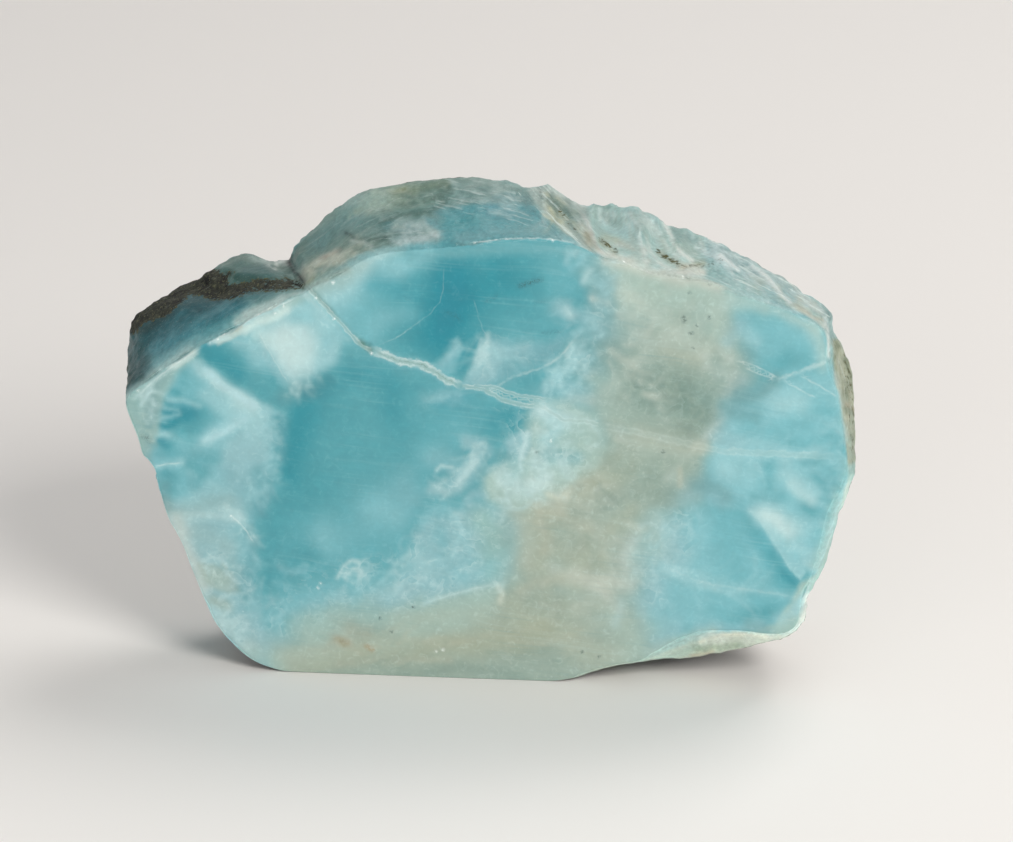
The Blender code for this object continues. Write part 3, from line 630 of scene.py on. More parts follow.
# The pale, curdled middle between the teal field and the green band
PALE_MIDDLE = (
    area(FERN, 0.85, 9, (534, 404), (560, 404), (590, 418), (604, 434), (600, 460), (580, 480),
         (550, 500), (514, 512), (492, 500), (484, 472), (506, 462), (520, 456), (527, 430))
    + area(HAZE, 0.8, 4, (506, 440), (514, 433), (530, 430), (532, 446), (524, 458), (508, 456))
    + stroke(SKY, 0.5, 7, (548, 456), (574, 458))
    + stroke(SLATE, 0.3, 5, (536, 452), (560, 454), (582, 457))
    + stroke(SLATE, 0.4, 5, (500, 456), (512, 457))
    + stroke(PALE, 0.75, 9, (542, 412), (556, 430), (546, 442))
    + stroke(MILK, 0.4, 5, (540, 408), (556, 418))
    + stroke(MILK, 0.6, 8, (536, 464), (546, 474), (538, 484))
    + stroke(MILK, 0.55, 8, (500, 478), (512, 486), (530, 492))
    + stroke(PALE, 0.5, 7, (516, 464), (514, 476))
    + stroke(MILK, 0.4, 5, (562, 462), (568, 474))
    + stroke(WHITE, 0.3, 5, (530, 480), (544, 482))
    + stroke(MILK, 0.65, 1.9, (528, 432), (524, 446), (520, 460), (522, 470))
    + stroke(MILK, 0.4, 2, (500, 506), (512, 510), (524, 508), (536, 500))
    + stroke(MILK, 0.4, 2.2, (506, 494), (510, 506))
    + stroke(CREAM, 0.65, 3, (548, 494), (558, 498), (566, 495))
    + stroke(SAND, 0.35, 5, (536, 508), (548, 514))
    + area(HAZE, 0.75, 14, (470, 504), (500, 506), (510, 530), (508, 572), (484, 582), (440, 598),
           (392, 604), (396, 576), (416, 550), (436, 516))
    + stroke((150, 186, 178), 0.7, 13, (484, 522), (494, 546), (492, 566))
    + stroke(OLIVE, 0.25, 7, (504, 524), (506, 540))
    + stroke(SKY, 0.5, 9, (448, 576), (468, 572), (490, 566))
    + stroke(CYAN, 0.35, 7, (438, 534), (446, 548))
    + stroke(SKY, 0.5, 7, (426, 520), (440, 508))
    + stroke(HAZE, 0.5, 6, (426, 528), (420, 540))
    + stroke(PALE, 0.5, 8, (414, 556), (430, 566))
    + stroke(HAZE, 0.6, 10, (384, 594), (410, 594), (440, 584))
    + area(FERN, 0.5, 9, (396, 606), (426, 592), (430, 606), (400, 622))
    + stroke(MILK, 0.5, 2.2, (424, 604), (440, 598), (462, 592), (486, 586), (498, 584))
    + stroke(FERN, 0.5, 6, (440, 604), (468, 598), (490, 594))
    + stroke(CREAM, 0.6, 3, (499, 588), (502, 594), (500, 602))
    + stroke(MILK, 0.35, 3, (504, 582), (500, 590))
    + stroke(HAZE, 0.75, 6, (466, 440), (480, 446), (476, 462), (466, 474), (456, 484))
    + stroke(HAZE, 0.55, 5, (484, 444), (490, 452))
    + stroke(HAZE, 0.75, 6, (432, 490), (446, 490), (458, 486))
    + stroke(MILK, 0.4, 3.6, (474, 462), (466, 472), (460, 482))
    + stroke(MILK, 0.3, 3.4, (434, 486), (446, 492))
    + stroke(TEAL, 0.45, 4.5, (488, 462), (482, 474), (474, 490))
    + stroke(HAZE, 0.6, 4, (468, 502), (474, 496), (484, 496))
    + stroke(FERN, 0.5, 5, (492, 480), (494, 496))
    + stroke(MILK, 0.55, 1.8, (437, 470), (441, 466), (452, 467))
    + stroke(PALE, 0.75, 2.2, (457, 520), (462, 530), (457, 544), (453, 556))
    + stroke(PALE, 0.4, 2.2, (452, 556), (440, 560), (424, 562))
    + stroke(PALE, 0.4, 2.2, (378, 584), (390, 574), (396, 564), (406, 556))
    + stroke(PALE, 0.35, 2.0, (388, 600), (404, 584), (414, 578))
    + curls(MILK, 0.3, 1.8, [(534, 406), (566, 408), (600, 440), (560, 500), (500, 508), (488, 474)], 9,
            56, 151)
    + curls(WHITE, 0.25, 1.8, [(524, 430), (560, 420), (570, 490), (500, 496)], 6, 26, 152)
    + curls(MILK, 0.3, 1.8, [(420, 510), (500, 508), (500, 580), (420, 600), (372, 610), (400, 560)], 9,
            44, 153)
    + curls(PALE, 0.4, 1.8, [(330, 568), (420, 556), (420, 590), (330, 604)], 7, 30, 154)
    + curls(MILK, 0.45, 1.8, [(338, 560), (364, 558), (370, 580), (344, 584)], 5, 14, 155)
    + stroke(MILK, 0.55, 1.9, (338, 578), (343, 567), (352, 560), (359, 563))
    + stroke(MILK, 0.45, 1.9, (346, 576), (352, 570), (360, 571))
    + stroke(MILK, 0.4, 4, (358, 572), (366, 578))
    + fibres(MILK, 0.35, 1.8, [(482, 444), (474, 462), (448, 488)], 122, 24, 30, 157, 12)
    + fibres(PALE, 0.3, 1.8, [(452, 512), (462, 524), (454, 552)], 92, 24, 20, 159, 16)
    + fibres(MILK, 0.25, 1.8, [(534, 408), (560, 412), (590, 424)], 20, 30, 30, 160, 18)
)

# The white wedges above the vein, and the puffs and feathers beside the green band
WEDGES_AND_PUFFS = (
    area((124, 172, 180), 0.7, 9, (488, 340), (512, 344), (546, 342), (566, 334), (560, 352), (530, 370),
         (504, 380), (484, 386), (468, 384))
    + area(HAZE, 0.6, 3.5, (487, 336), (496, 346), (500, 362), (494, 380), (478, 386), (462, 383),
           (474, 362))
    + stroke(PALE, 0.5, 4, (486, 344), (484, 358), (474, 374))
    + stroke(MILK, 0.4, 2.2, (488, 334), (487, 346), (482, 360))
    + stroke(HAZE, 0.5, 7, (500, 356), (524, 350))
    + area(SKY, 0.55, 4, (458, 338), (462, 352), (456, 372), (446, 374), (432, 366), (446, 356))
    + stroke(HAZE, 0.4, 3.4, (457, 342), (452, 354), (442, 364))
    + stroke(TEAL, 0.6, 6, (524, 380), (540, 378))
    + stroke(BLUE, 0.3, 7, (512, 364), (528, 362))
    + stroke(SLATE, 0.5, 13, (594, 312), (592, 336), (578, 360))
    + stroke(HAZE, 0.4, 10, (548, 392), (564, 384), (580, 392))
    + stroke((124, 170, 174), 0.6, 9, (578, 344), (580, 358), (574, 366))
    + stroke(TEAL, 0.3, 6, (584, 262), (598, 280))
    + stroke(HAZE, 0.3, 6, (424, 397), (444, 396), (458, 396))
    + stroke(PALE, 0.35, 1.8, (440, 399), (448, 396))
    + stroke(HAZE, 0.6, 7, (558, 308), (570, 314), (586, 318))
    + stroke(MILK, 0.6, 4, (566, 310), (571, 316))
    + stroke(PALE, 0.5, 3.4, (574, 334), (582, 330))
    + stroke(SKY, 0.7, 4, (570, 254), (566, 262), (574, 268), (582, 258))
    + stroke(HAZE, 0.4, 2.2, (567, 262), (569, 254), (577, 252))
    + stroke(MILK, 0.6, 4, (590, 272), (585, 281))
    + stroke((196, 208, 200), 0.75, 3.4, (593, 298), (601, 301), (606, 303))
    + stroke(HAZE, 0.5, 8, (606, 282), (602, 308), (598, 330))
    + stroke((116, 162, 164), 0.45, 7, (598, 278), (602, 300), (600, 320))
    + stroke(TEAL, 0.35, 6, (194, 346), (204, 350))
    + stroke((108, 164, 172), 0.4, 7, (242, 578), (248, 590))
    + stroke((132, 162, 160), 0.35, 9, (168, 506), (198, 508), (230, 502))
    + fibres(MILK, 0.22, 1.8, [(486, 340), (482, 352)], 118, 34, 22, 161, 12)
    + fibres(PALE, 0.2, 1.8, [(488, 346), (500, 352)], 30, 50, 22, 162, 22)
    + fibres(PALE, 0.25, 1.8, [(460, 342), (454, 354)], 122, 22, 10, 163, 10)
    + fibres(PALE, 0.4, 1.8, [(546, 390), (560, 376), (576, 352)], -66, 30, 60, 164, 18)
    + fibres(PALE, 0.3, 1.8, [(560, 396), (576, 384), (588, 362)], -78, 30, 30, 170, 16)
    + fibres(PALE, 0.22, 1.8, [(606, 262), (606, 300), (598, 336)], 178, 26, 40, 165, 16)
    + fibres(HAZE, 0.3, 1.8, [(576, 308), (570, 320)], 184, 30, 14, 166, 12)
    + fibres(PALE, 0.2, 1.8, [(416, 400), (440, 396), (456, 400)], -4, 22, 16, 167, 8)
    + curls(MILK, 0.25, 1.8, [(548, 352), (592, 340), (600, 372), (566, 402), (546, 392)], 9, 24, 168)
    + curls(PALE, 0.3, 1.8, [(566, 250), (600, 250), (608, 300), (576, 276)], 6, 14, 169)
)

# The blue cells at the right, with the deep one and its sharp pale border
RIGHT_CELLS = (
    area(SKY, 0.85, 12, (742, 304), (790, 310), (822, 326), (828, 364), (782, 380), (756, 366),
         (744, 345))
    + stroke(BLUE, 0.55, 9, (754, 312), (778, 312))
    + stroke(CYAN, 0.5, 14, (766, 336), (792, 346), (808, 344))
    + stroke(BLUE, 0.6, 9, (766, 364), (788, 362), (806, 358))
    + stroke(TEAL, 0.35, 7, (778, 368), (788, 356))
    + stroke(SLATE, 0.4, 7, (742, 346), (752, 356))
    + stroke(PALE, 0.4, 7, (814, 334), (822, 352))
    + stroke(PALE, 0.5, 6, (748, 334), (756, 342))
    + stroke(HAZE, 0.5, 7, (728, 342), (740, 324))
    + stroke((168, 197, 192), 0.8, 8, (732, 300), (750, 303), (764, 306))
    + stroke((170, 200, 196), 0.7, 5, (776, 310), (798, 320), (816, 330))
    + stroke((170, 199, 194), 0.6, 7, (812, 322), (822, 344), (826, 370))
    + area(SKY, 0.9, 11, (726, 404), (776, 382), (830, 366), (842, 395), (846, 450), (848, 482),
           (830, 540), (816, 572), (800, 574), (772, 540), (746, 506), (708, 500), (704, 470), (720, 440))
    + stroke(SLATE, 0.75, 8, (738, 398), (758, 396), (772, 382))
    + stroke(SLATE, 0.5, 8, (726, 408), (740, 414), (752, 416))
    + stroke(HAZE, 0.6, 10, (722, 440), (736, 448))
    + stroke(PALE, 0.6, 14, (780, 404), (800, 402))
    + stroke(PALE, 0.4, 8, (782, 404), (796, 400))
    + stroke(CYAN, 0.6, 8, (816, 408), (830, 408))
    + stroke(CYAN, 0.4, 5, (806, 392), (822, 398))
    + stroke(CYAN, 0.55, 7, (748, 428), (772, 430), (806, 426))
    + stroke(CYAN, 0.7, 6, (784, 442), (806, 443), (830, 438))
    + stroke(BLUE, 0.35, 3.5, (790, 443), (812, 445))
    + stroke(PALE, 0.45, 5, (722, 450), (756, 452), (784, 456), (812, 456))
    + stroke(PALE, 0.4, 4, (812, 450), (840, 456))
    + stroke(PALE, 0.75, 10, (722, 470), (746, 474))
    + stroke(SKY, 0.6, 9, (748, 460), (742, 484))
    + stroke(CYAN, 0.75, 6, (770, 462), (770, 480), (768, 494))
    + stroke(BLUE, 0.35, 4, (770, 466), (768, 486))
    + stroke(BLUE, 0.6, 5, (782, 496), (772, 500), (756, 498))
    + stroke(BLUE, 0.65, 4.5, (806, 462), (820, 461))
    + stroke(TEAL, 0.5, 5, (818, 478), (824, 488))
    + stroke(BLUE, 0.4, 6, (832, 478), (834, 496))
    + stroke(BLUE, 0.6, 5, (804, 506), (812, 514), (822, 510))
    + stroke(TEAL, 0.45, 3.4, (806, 508), (812, 511))
    + stroke(PALE, 0.75, 7, (784, 474), (798, 482), (814, 496))
    + stroke(MILK, 0.5, 4.5, (790, 484), (802, 494), (810, 500))
    + stroke(PALE, 0.75, 11, (766, 514), (780, 522), (796, 530))
    + stroke(MILK, 0.85, 8, (764, 514), (776, 520), (788, 530))
    + stroke(WHITE, 0.25, 5, (768, 518), (778, 524))
    + stroke(PALE, 0.7, 8, (794, 546), (812, 552))
    + stroke(SKY, 0.4, 4, (800, 540), (816, 546))
    + stroke(MILK, 0.35, 5, (806, 564), (814, 570))
    + stroke(CYAN, 0.3, 6, (822, 530), (816, 544))
    + stroke(FERN, 0.5, 5, (838, 492), (828, 536), (816, 566))
    + stroke((148, 184, 184), 0.5, 4, (836, 380), (842, 410), (845, 440))
    + stroke((132, 174, 172), 0.6, 4, (846, 462), (838, 496), (828, 528))
    + fibres(PALE, 0.3, 1.8, [(836, 386), (842, 430), (842, 484), (828, 530)], 186, 26, 60, 171, 10)
    + fibres(CYAN, 0.3, 1.8, [(832, 396), (838, 450), (836, 500)], 184, 24, 36, 172, 10)
    + fibres(BLUE, 0.3, 1.8, [(838, 436), (840, 470), (826, 520)], 182, 26, 26, 174, 8)
    + fibres(PALE, 0.28, 1.8, [(714, 448), (760, 452), (800, 456)], 3, 60, 40, 173, 4)
    + stroke(HAZE, 0.5, 9, (684, 502), (700, 494), (720, 500))
    + stroke(SLATE, 0.55, 7, (696, 486), (716, 488), (726, 496))
)

# The deep blue cell at the lower right, which ends in a sharp border
DEEP_RIGHT_CELL = (
    area(SKY, 0.8, 13, (668, 540), (692, 512), (724, 500), (748, 508), (772, 542), (800, 581), (790, 600),
         (772, 624), (735, 632), (690, 632), (650, 640), (646, 610), (652, 570))
    + area(CYAN, 0.85, 6, (716, 510), (746, 508), (758, 524), (772, 544), (788, 566), (800, 581),
           (791, 598), (773, 622), (735, 629), (708, 612), (704, 560))
    + area(BLUE, 0.7, 5, (744, 520), (758, 526), (772, 546), (786, 566), (799, 581), (790, 596),
           (776, 588), (764, 566))
    + stroke((92, 172, 184), 0.45, 9, (756, 536), (768, 556), (782, 576))
    + stroke(TEAL, 0.6, 5, (772, 556), (784, 572), (794, 582))
    + stroke(DEEP, 0.45, 4, (784, 576), (792, 584))
    + stroke(BLUE, 0.8, 7, (740, 616), (768, 612))
    + stroke(TEAL, 0.4, 6, (752, 618), (774, 612))
    + stroke(BLUE, 0.5, 8, (716, 508), (738, 508), (750, 516))
    + stroke(SKY, 0.5, 9, (752, 560), (760, 574))
    + stroke(SKY, 0.7, 15, (692, 540), (702, 562))
    + stroke(HAZE, 0.6, 12, (668, 540), (674, 562))
    + stroke(SKY, 0.5, 12, (716, 594), (736, 600))
    + stroke(SKY, 0.6, 15, (664, 600), (694, 606))
    + stroke(FERN, 0.45, 13, (650, 630), (636, 650))
    + stroke(HAZE, 0.55, 11, (672, 628), (656, 642))
    + stroke(HAZE, 0.7, 13, (648, 600), (652, 566), (662, 530))
    + stroke(FERN, 0.5, 11, (652, 552), (656, 524))
    + stroke(HAZE, 0.6, 6, (700, 628), (730, 631), (760, 628))
    + area(PALE, 0.9, 1.2, (746, 507), (756, 509), (770, 520), (788, 545), (806, 572), (800, 580),
           (790, 570), (772, 542), (760, 522))
    + stroke(MILK, 0.6, 3, (752, 511), (764, 520), (778, 540))
    + area(FERN, 0.85, 3, (801, 582), (818, 574), (812, 606), (800, 634), (780, 640), (742, 636),
           (774, 624), (792, 599))
    + area(PALE, 0.6, 4, (803, 588), (814, 580), (808, 606), (796, 618), (790, 610))
    + stroke(PALE, 0.6, 6, (780, 620), (792, 612), (800, 602))
    + stroke(PALE, 0.6, 4, (664, 566), (690, 580), (716, 588))
    + stroke(PALE, 0.3, 4, (716, 588), (750, 590), (790, 596))
    + stroke(CYAN, 0.4, 3, (720, 594), (752, 597), (790, 602))
    + stroke((172, 194, 186), 0.75, 6, (652, 652), (684, 640), (712, 634))
    + stroke((138, 188, 194), 0.6, 6, (752, 508), (766, 513))
    + stroke((128, 171, 174), 0.7, 6, (750, 627), (768, 631))
    + fibres(PALE, 0.35, 1.8, [(664, 564), (700, 582), (740, 592)], 12, 60, 26, 181, 5)
    + fibres(PALE, 0.3, 1.8, [(652, 548), (668, 524), (700, 506)], 100, 22, 30, 182, 20)
    + curls(MILK, 0.28, 1.8, [(640, 530), (690, 506), (676, 580), (632, 592)], 9, 24, 183)
    + curls(PALE, 0.22, 1.8, [(642, 600), (720, 600), (730, 632), (650, 650)], 9, 16, 184)
)

# The broken plane at the left, painted dark for the shade on it as well as for its own deep colour, the
# crumbly hump above it and the band along the sawn edge
LEFT_RIM = (
    area((58, 102, 110), 1.0, 3, (112, 412), (116, 312), (160, 286), (222, 284), (294, 276), (299, 300),
         (258, 320), (189, 358), (136, 400))
    + stroke((50, 70, 68), 0.9, 8, (124, 326), (128, 350), (126, 380))
    + stroke((54, 68, 66), 0.8, 6, (134, 332), (150, 326), (170, 314))
    + stroke((64, 98, 100), 0.8, 9, (136, 346), (148, 354))
    + stroke((66, 112, 120), 0.85, 9, (162, 342), (178, 328), (186, 318))
    + stroke((44, 84, 92), 0.8, 5, (196, 309), (206, 311), (216, 304))
    + stroke((66, 122, 130), 0.85, 7, (194, 326), (212, 314), (238, 303))
    + stroke((94, 154, 160), 0.85, 6, (190, 341), (214, 330), (236, 318), (252, 308))
    + stroke((62, 86, 88), 0.7, 5, (180, 306), (196, 300), (206, 300))
    + stroke((62, 90, 92), 0.7, 4, (212, 301), (236, 298), (258, 294))
    + stroke((86, 126, 128), 0.8, 5, (250, 299), (272, 294), (290, 289))
    + stroke((120, 158, 156), 0.85, 5, (254, 308), (272, 300), (292, 292))
    + stroke((150, 180, 178), 0.95, 5, (126, 399), (138, 387), (156, 371), (176, 356), (192, 346))
    + stroke((54, 80, 82), 0.8, 6, (138, 350), (140, 362), (138, 374))
    + stroke((66, 96, 98), 0.6, 5, (150, 362), (162, 352))
    + stroke((176, 204, 201), 0.7, 3, (160, 368), (176, 356), (190, 347))
    + stroke((124, 176, 178), 0.9, 4, (198, 343), (212, 335), (226, 328), (238, 322))
    + stroke((196, 218, 213), 0.8, 2.6, (236, 323), (254, 315), (276, 306), (298, 297))
    + stroke((150, 190, 190), 0.7, 2.4, (196, 346), (212, 338), (228, 330))
    + stroke((164, 192, 188), 0.85, 3.4, (238, 318), (254, 311), (276, 302), (296, 295))
    + stroke((40, 74, 80), 0.7, 5, (192, 314), (206, 310), (218, 304))
    + stroke((60, 112, 122), 0.6, 6, (206, 320), (222, 311), (236, 305))
    + stroke((84, 150, 158), 0.7, 5, (192, 341), (206, 335), (220, 328))
    + stroke((184, 206, 202), 0.8, 4, (246, 314), (262, 309), (280, 301))
    + stroke((80, 138, 148), 0.7, 6, (158, 351), (180, 337), (198, 329))
    + stroke((124, 172, 176), 0.7, 4.5, (156, 363), (178, 349), (198, 338))
    + fibres((96, 146, 154), 0.2, 1.8, [(140, 350), (170, 330), (214, 312), (250, 300)], 148, 30, 40, 191,
             10)
    + fibres((40, 66, 70), 0.2, 1.8, [(136, 346), (160, 330), (200, 310)], 148, 26, 30, 192, 12)
    + area((90, 120, 116), 1.0, 3, (206, 286), (212, 262), (232, 246), (262, 246), (288, 250), (298, 290),
           (262, 290), (236, 288))
    + stroke((62, 88, 82), 0.85, 5, (228, 274), (240, 278), (254, 280))
    + stroke((80, 110, 110), 0.8, 5, (244, 270), (258, 270), (272, 269))
    + stroke((124, 142, 136), 0.8, 3.6, (222, 263), (240, 257), (256, 260))
    + stroke((108, 128, 120), 0.7, 4, (278, 266), (286, 266))
    + stroke((156, 176, 172), 0.7, 2.4, (250, 257), (262, 261), (276, 262), (288, 262))
    + fibres((228, 234, 230), 0.85, 1.8, [(258, 259), (288, 262)], 10, 4, 30, 194, 50)
    + fibres((92, 118, 114), 0.7, 1.8, [(256, 259), (288, 262)], 10, 4, 16, 195, 50)
)

# The rim above the left half of the face: a shaded shoulder, a cream patch and an olive ledge
CROWN = (
    area((108, 138, 132), 1.0, 4, (288, 256), (345, 186), (414, 166), (486, 166), (486, 243), (432, 249),
         (388, 253), (355, 263), (340, 276), (305, 294), (294, 284))
    + stroke((96, 122, 115), 0.9, 7, (300, 252), (314, 238), (330, 226))
    + stroke((98, 128, 124), 0.9, 7, (306, 258), (324, 244), (344, 232))
    + stroke((120, 146, 138), 0.8, 6, (322, 222), (338, 212), (348, 204))
    + stroke((142, 168, 160), 0.9, 6, (354, 200), (368, 202), (380, 196))
    + stroke((162, 182, 170), 0.8, 4, (374, 192), (384, 194))
    + stroke((146, 168, 154), 0.9, 5, (372, 210), (388, 203), (398, 198))
    + stroke((134, 148, 124), 0.85, 4.5, (394, 191), (406, 190), (414, 190))
    + stroke((152, 160, 124), 0.6, 2.4, (396, 192), (406, 188))
    + stroke((122, 144, 128), 0.9, 5, (414, 188), (430, 185), (446, 184))
    + stroke((108, 136, 126), 0.9, 6, (408, 200), (424, 206), (440, 203))
    + stroke((116, 148, 140), 0.7, 5, (424, 196), (442, 195), (456, 196))
    + stroke((98, 138, 132), 0.8, 4, (396, 212), (416, 210), (438, 207))
    + stroke((124, 152, 146), 0.8, 4, (366, 218), (382, 214))
    + stroke((98, 136, 134), 0.8, 6, (362, 224), (384, 222), (400, 221))
    + stroke((116, 146, 142), 0.8, 5, (354, 232), (370, 232), (384, 230))
    + stroke((150, 176, 168), 0.6, 7, (360, 204), (374, 202), (384, 204))
    + stroke((142, 163, 150), 0.6, 6, (392, 202), (402, 204))
    + stroke((118, 152, 144), 0.5, 6, (416, 202), (430, 204))
    + stroke((118, 154, 149), 0.6, 6, (342, 214), (352, 216))
    + stroke((100, 166, 172), 0.55, 7, (446, 214), (460, 206), (476, 206))
    + stroke((112, 148, 148), 0.6, 9, (318, 244), (334, 229), (350, 216))
    + stroke((138, 168, 164), 0.6, 6, (344, 205), (358, 201))
    + stroke((160, 186, 179), 0.5, 6, (366, 203), (382, 202))
    + stroke((80, 130, 134), 0.6, 6, (388, 226), (402, 227))
    + stroke((96, 154, 162), 0.6, 6, (412, 226), (428, 226), (446, 226))
    + stroke((84, 146, 156), 0.4, 6, (440, 212), (452, 204), (470, 206), (492, 204))
    + stroke((58, 86, 84), 0.95, 2.0, (346, 233), (354, 238), (362, 240), (376, 240), (386, 238))
    + stroke((74, 106, 100), 0.7, 2.0, (380, 222), (396, 217), (414, 214), (436, 209), (450, 200))
    + stroke((128, 160, 160), 0.85, 4, (394, 240), (408, 234), (420, 226))
    + stroke((150, 178, 180), 0.85, 3.4, (404, 243), (420, 240), (434, 240))
    + stroke((112, 162, 168), 0.7, 4, (426, 222), (434, 226), (440, 232))
    + stroke((158, 184, 184), 0.7, 2.0, (424, 222), (428, 230), (436, 236), (446, 242))
    + stroke((120, 148, 140), 0.8, 6, (344, 244), (362, 246), (378, 246))
    + stroke((154, 164, 150), 0.95, 5, (304, 278), (310, 269), (322, 262), (336, 256))
    + stroke((164, 172, 156), 0.7, 2.4, (306, 272), (316, 266), (328, 260))
    + stroke((140, 160, 150), 0.85, 5, (330, 264), (346, 257), (360, 252))
    + stroke((128, 154, 148), 0.7, 4, (318, 270), (330, 267), (344, 260))
    + stroke((156, 178, 168), 0.85, 5, (312, 286), (324, 280), (340, 272), (352, 264))
    + stroke((138, 148, 126), 0.7, 3.6, (306, 282), (312, 279))
    + stroke((150, 184, 182), 0.8, 3.4, (362, 256), (384, 249), (412, 247), (440, 246))
    + stroke((168, 150, 136), 0.6, 1.9, (320, 259), (332, 254), (340, 250))
    + stroke((196, 210, 206), 0.7, 1.8, (352, 241), (364, 243), (372, 246))
    + fibres((176, 184, 170), 0.6, 1.8, [(308, 272), (334, 258), (366, 250)], -30, 20, 34, 211, 9)
    + fibres((96, 124, 116), 0.5, 1.8, [(306, 262), (340, 246), (392, 236)], -24, 22, 34, 212, 12)
    + fibres((158, 182, 178), 0.55, 1.8, [(386, 228), (410, 222), (436, 230)], -22, 16, 30, 213, 24)
    + fibres((84, 112, 104), 0.45, 1.8, [(380, 212), (416, 202), (448, 190)], -16, 24, 28, 214, 14)
    + fibres((160, 180, 166), 0.5, 1.8, [(350, 214), (384, 198), (410, 190)], -24, 22, 28, 215, 14)
    + curls((186, 206, 206), 0.6, 1.8, [(392, 232), (424, 218), (446, 240), (400, 246)], 6, 26, 193)
)

# The blue scooped hollow at the top, with the streaked ridge at its right
BLUE_HOLLOW = (
    area((100, 162, 169), 1.0, 5, (440, 236), (446, 214), (470, 204), (500, 204), (540, 212), (572, 232),
         (592, 250), (548, 240), (505, 240), (470, 243), (440, 246))
    + area((126, 158, 154), 0.95, 3.5, (448, 206), (456, 172), (500, 172), (536, 180), (548, 204),
           (500, 204), (470, 204))
    + stroke((86, 156, 162), 0.85, 6, (446, 226), (462, 222), (474, 220))
    + stroke((122, 168, 173), 0.75, 6, (462, 238), (500, 233), (536, 233))
    + stroke((134, 174, 176), 0.7, 5, (520, 226), (544, 230), (560, 238))
    + stroke((106, 162, 168), 0.8, 7, (488, 214), (504, 216), (520, 222))
    + stroke((86, 148, 156), 0.8, 7, (508, 198), (518, 204), (526, 212))
    + stroke((78, 143, 156), 0.6, 6, (492, 207), (508, 212))
    + stroke((180, 198, 192), 0.7, 5, (584, 248), (596, 256), (610, 260))
    + stroke((106, 136, 130), 0.7, 3, (456, 180), (474, 180), (492, 184))
    + stroke((150, 172, 166), 0.7, 2.2, (462, 177), (480, 177), (496, 181))
    + stroke((150, 174, 168), 0.6, 3, (500, 188), (516, 190))
    + stroke((118, 156, 160), 0.7, 3.4, (496, 198), (516, 198), (530, 202))
    + stroke((156, 182, 178), 0.7, 1.9, (452, 182), (464, 190), (478, 194), (496, 193))
    + stroke((92, 124, 118), 0.6, 1.9, (460, 188), (478, 186), (500, 186), (520, 190))
    + stroke((88, 128, 126), 0.5, 1.9, (458, 200), (474, 202), (488, 200))
    + fibres((160, 190, 190), 0.4, 1.8, [(462, 198), (490, 200), (512, 206)], 22, 34, 20, 196, 10)
    + fibres((164, 186, 182), 0.4, 1.8, [(456, 186), (490, 188), (522, 192)], 8, 26, 24, 216, 14)
    + fibres((96, 134, 132), 0.5, 1.8, [(452, 192), (490, 192), (530, 198)], 12, 26, 24, 217, 14)
    + stroke((176, 206, 206), 0.5, 1.8, (490, 212), (500, 214), (510, 217))
    + area((144, 172, 168), 1.0, 4, (524, 180), (552, 178), (572, 196), (594, 204), (592, 226),
           (604, 254), (590, 252), (572, 236), (552, 222), (536, 206))
    + stroke((132, 160, 158), 0.8, 5, (528, 190), (542, 194), (556, 206))
    + stroke((160, 178, 164), 0.85, 4, (544, 204), (558, 220), (574, 234))
    + stroke((168, 188, 182), 0.8, 4, (566, 226), (578, 236), (586, 244))
    + stroke((180, 190, 178), 0.9, 4, (582, 224), (590, 234), (596, 246))
    + stroke((206, 212, 208), 0.95, 2.2, (562, 196), (574, 202), (580, 210), (588, 222), (596, 240),
             (602, 252))
    + stroke((222, 226, 222), 0.8, 1.8, (566, 197), (578, 204), (592, 206), (602, 204))
    + stroke((196, 206, 190), 0.6, 1.8, (546, 196), (562, 214), (580, 230), (590, 244))
    + fibres((190, 206, 200), 0.75, 1.8, [(528, 188), (548, 190), (566, 200)], 50, 44, 44, 197, 6)
    + fibres((186, 190, 160), 0.7, 1.8, [(544, 194), (560, 212)], 51, 34, 26, 198, 5)
    + fibres((104, 134, 130), 0.6, 1.8, [(534, 188), (558, 200), (576, 216)], 51, 34, 34, 199, 6)
    + fibres((140, 132, 104), 0.5, 1.8, [(584, 232), (596, 244)], 50, 16, 12, 218, 8)
)

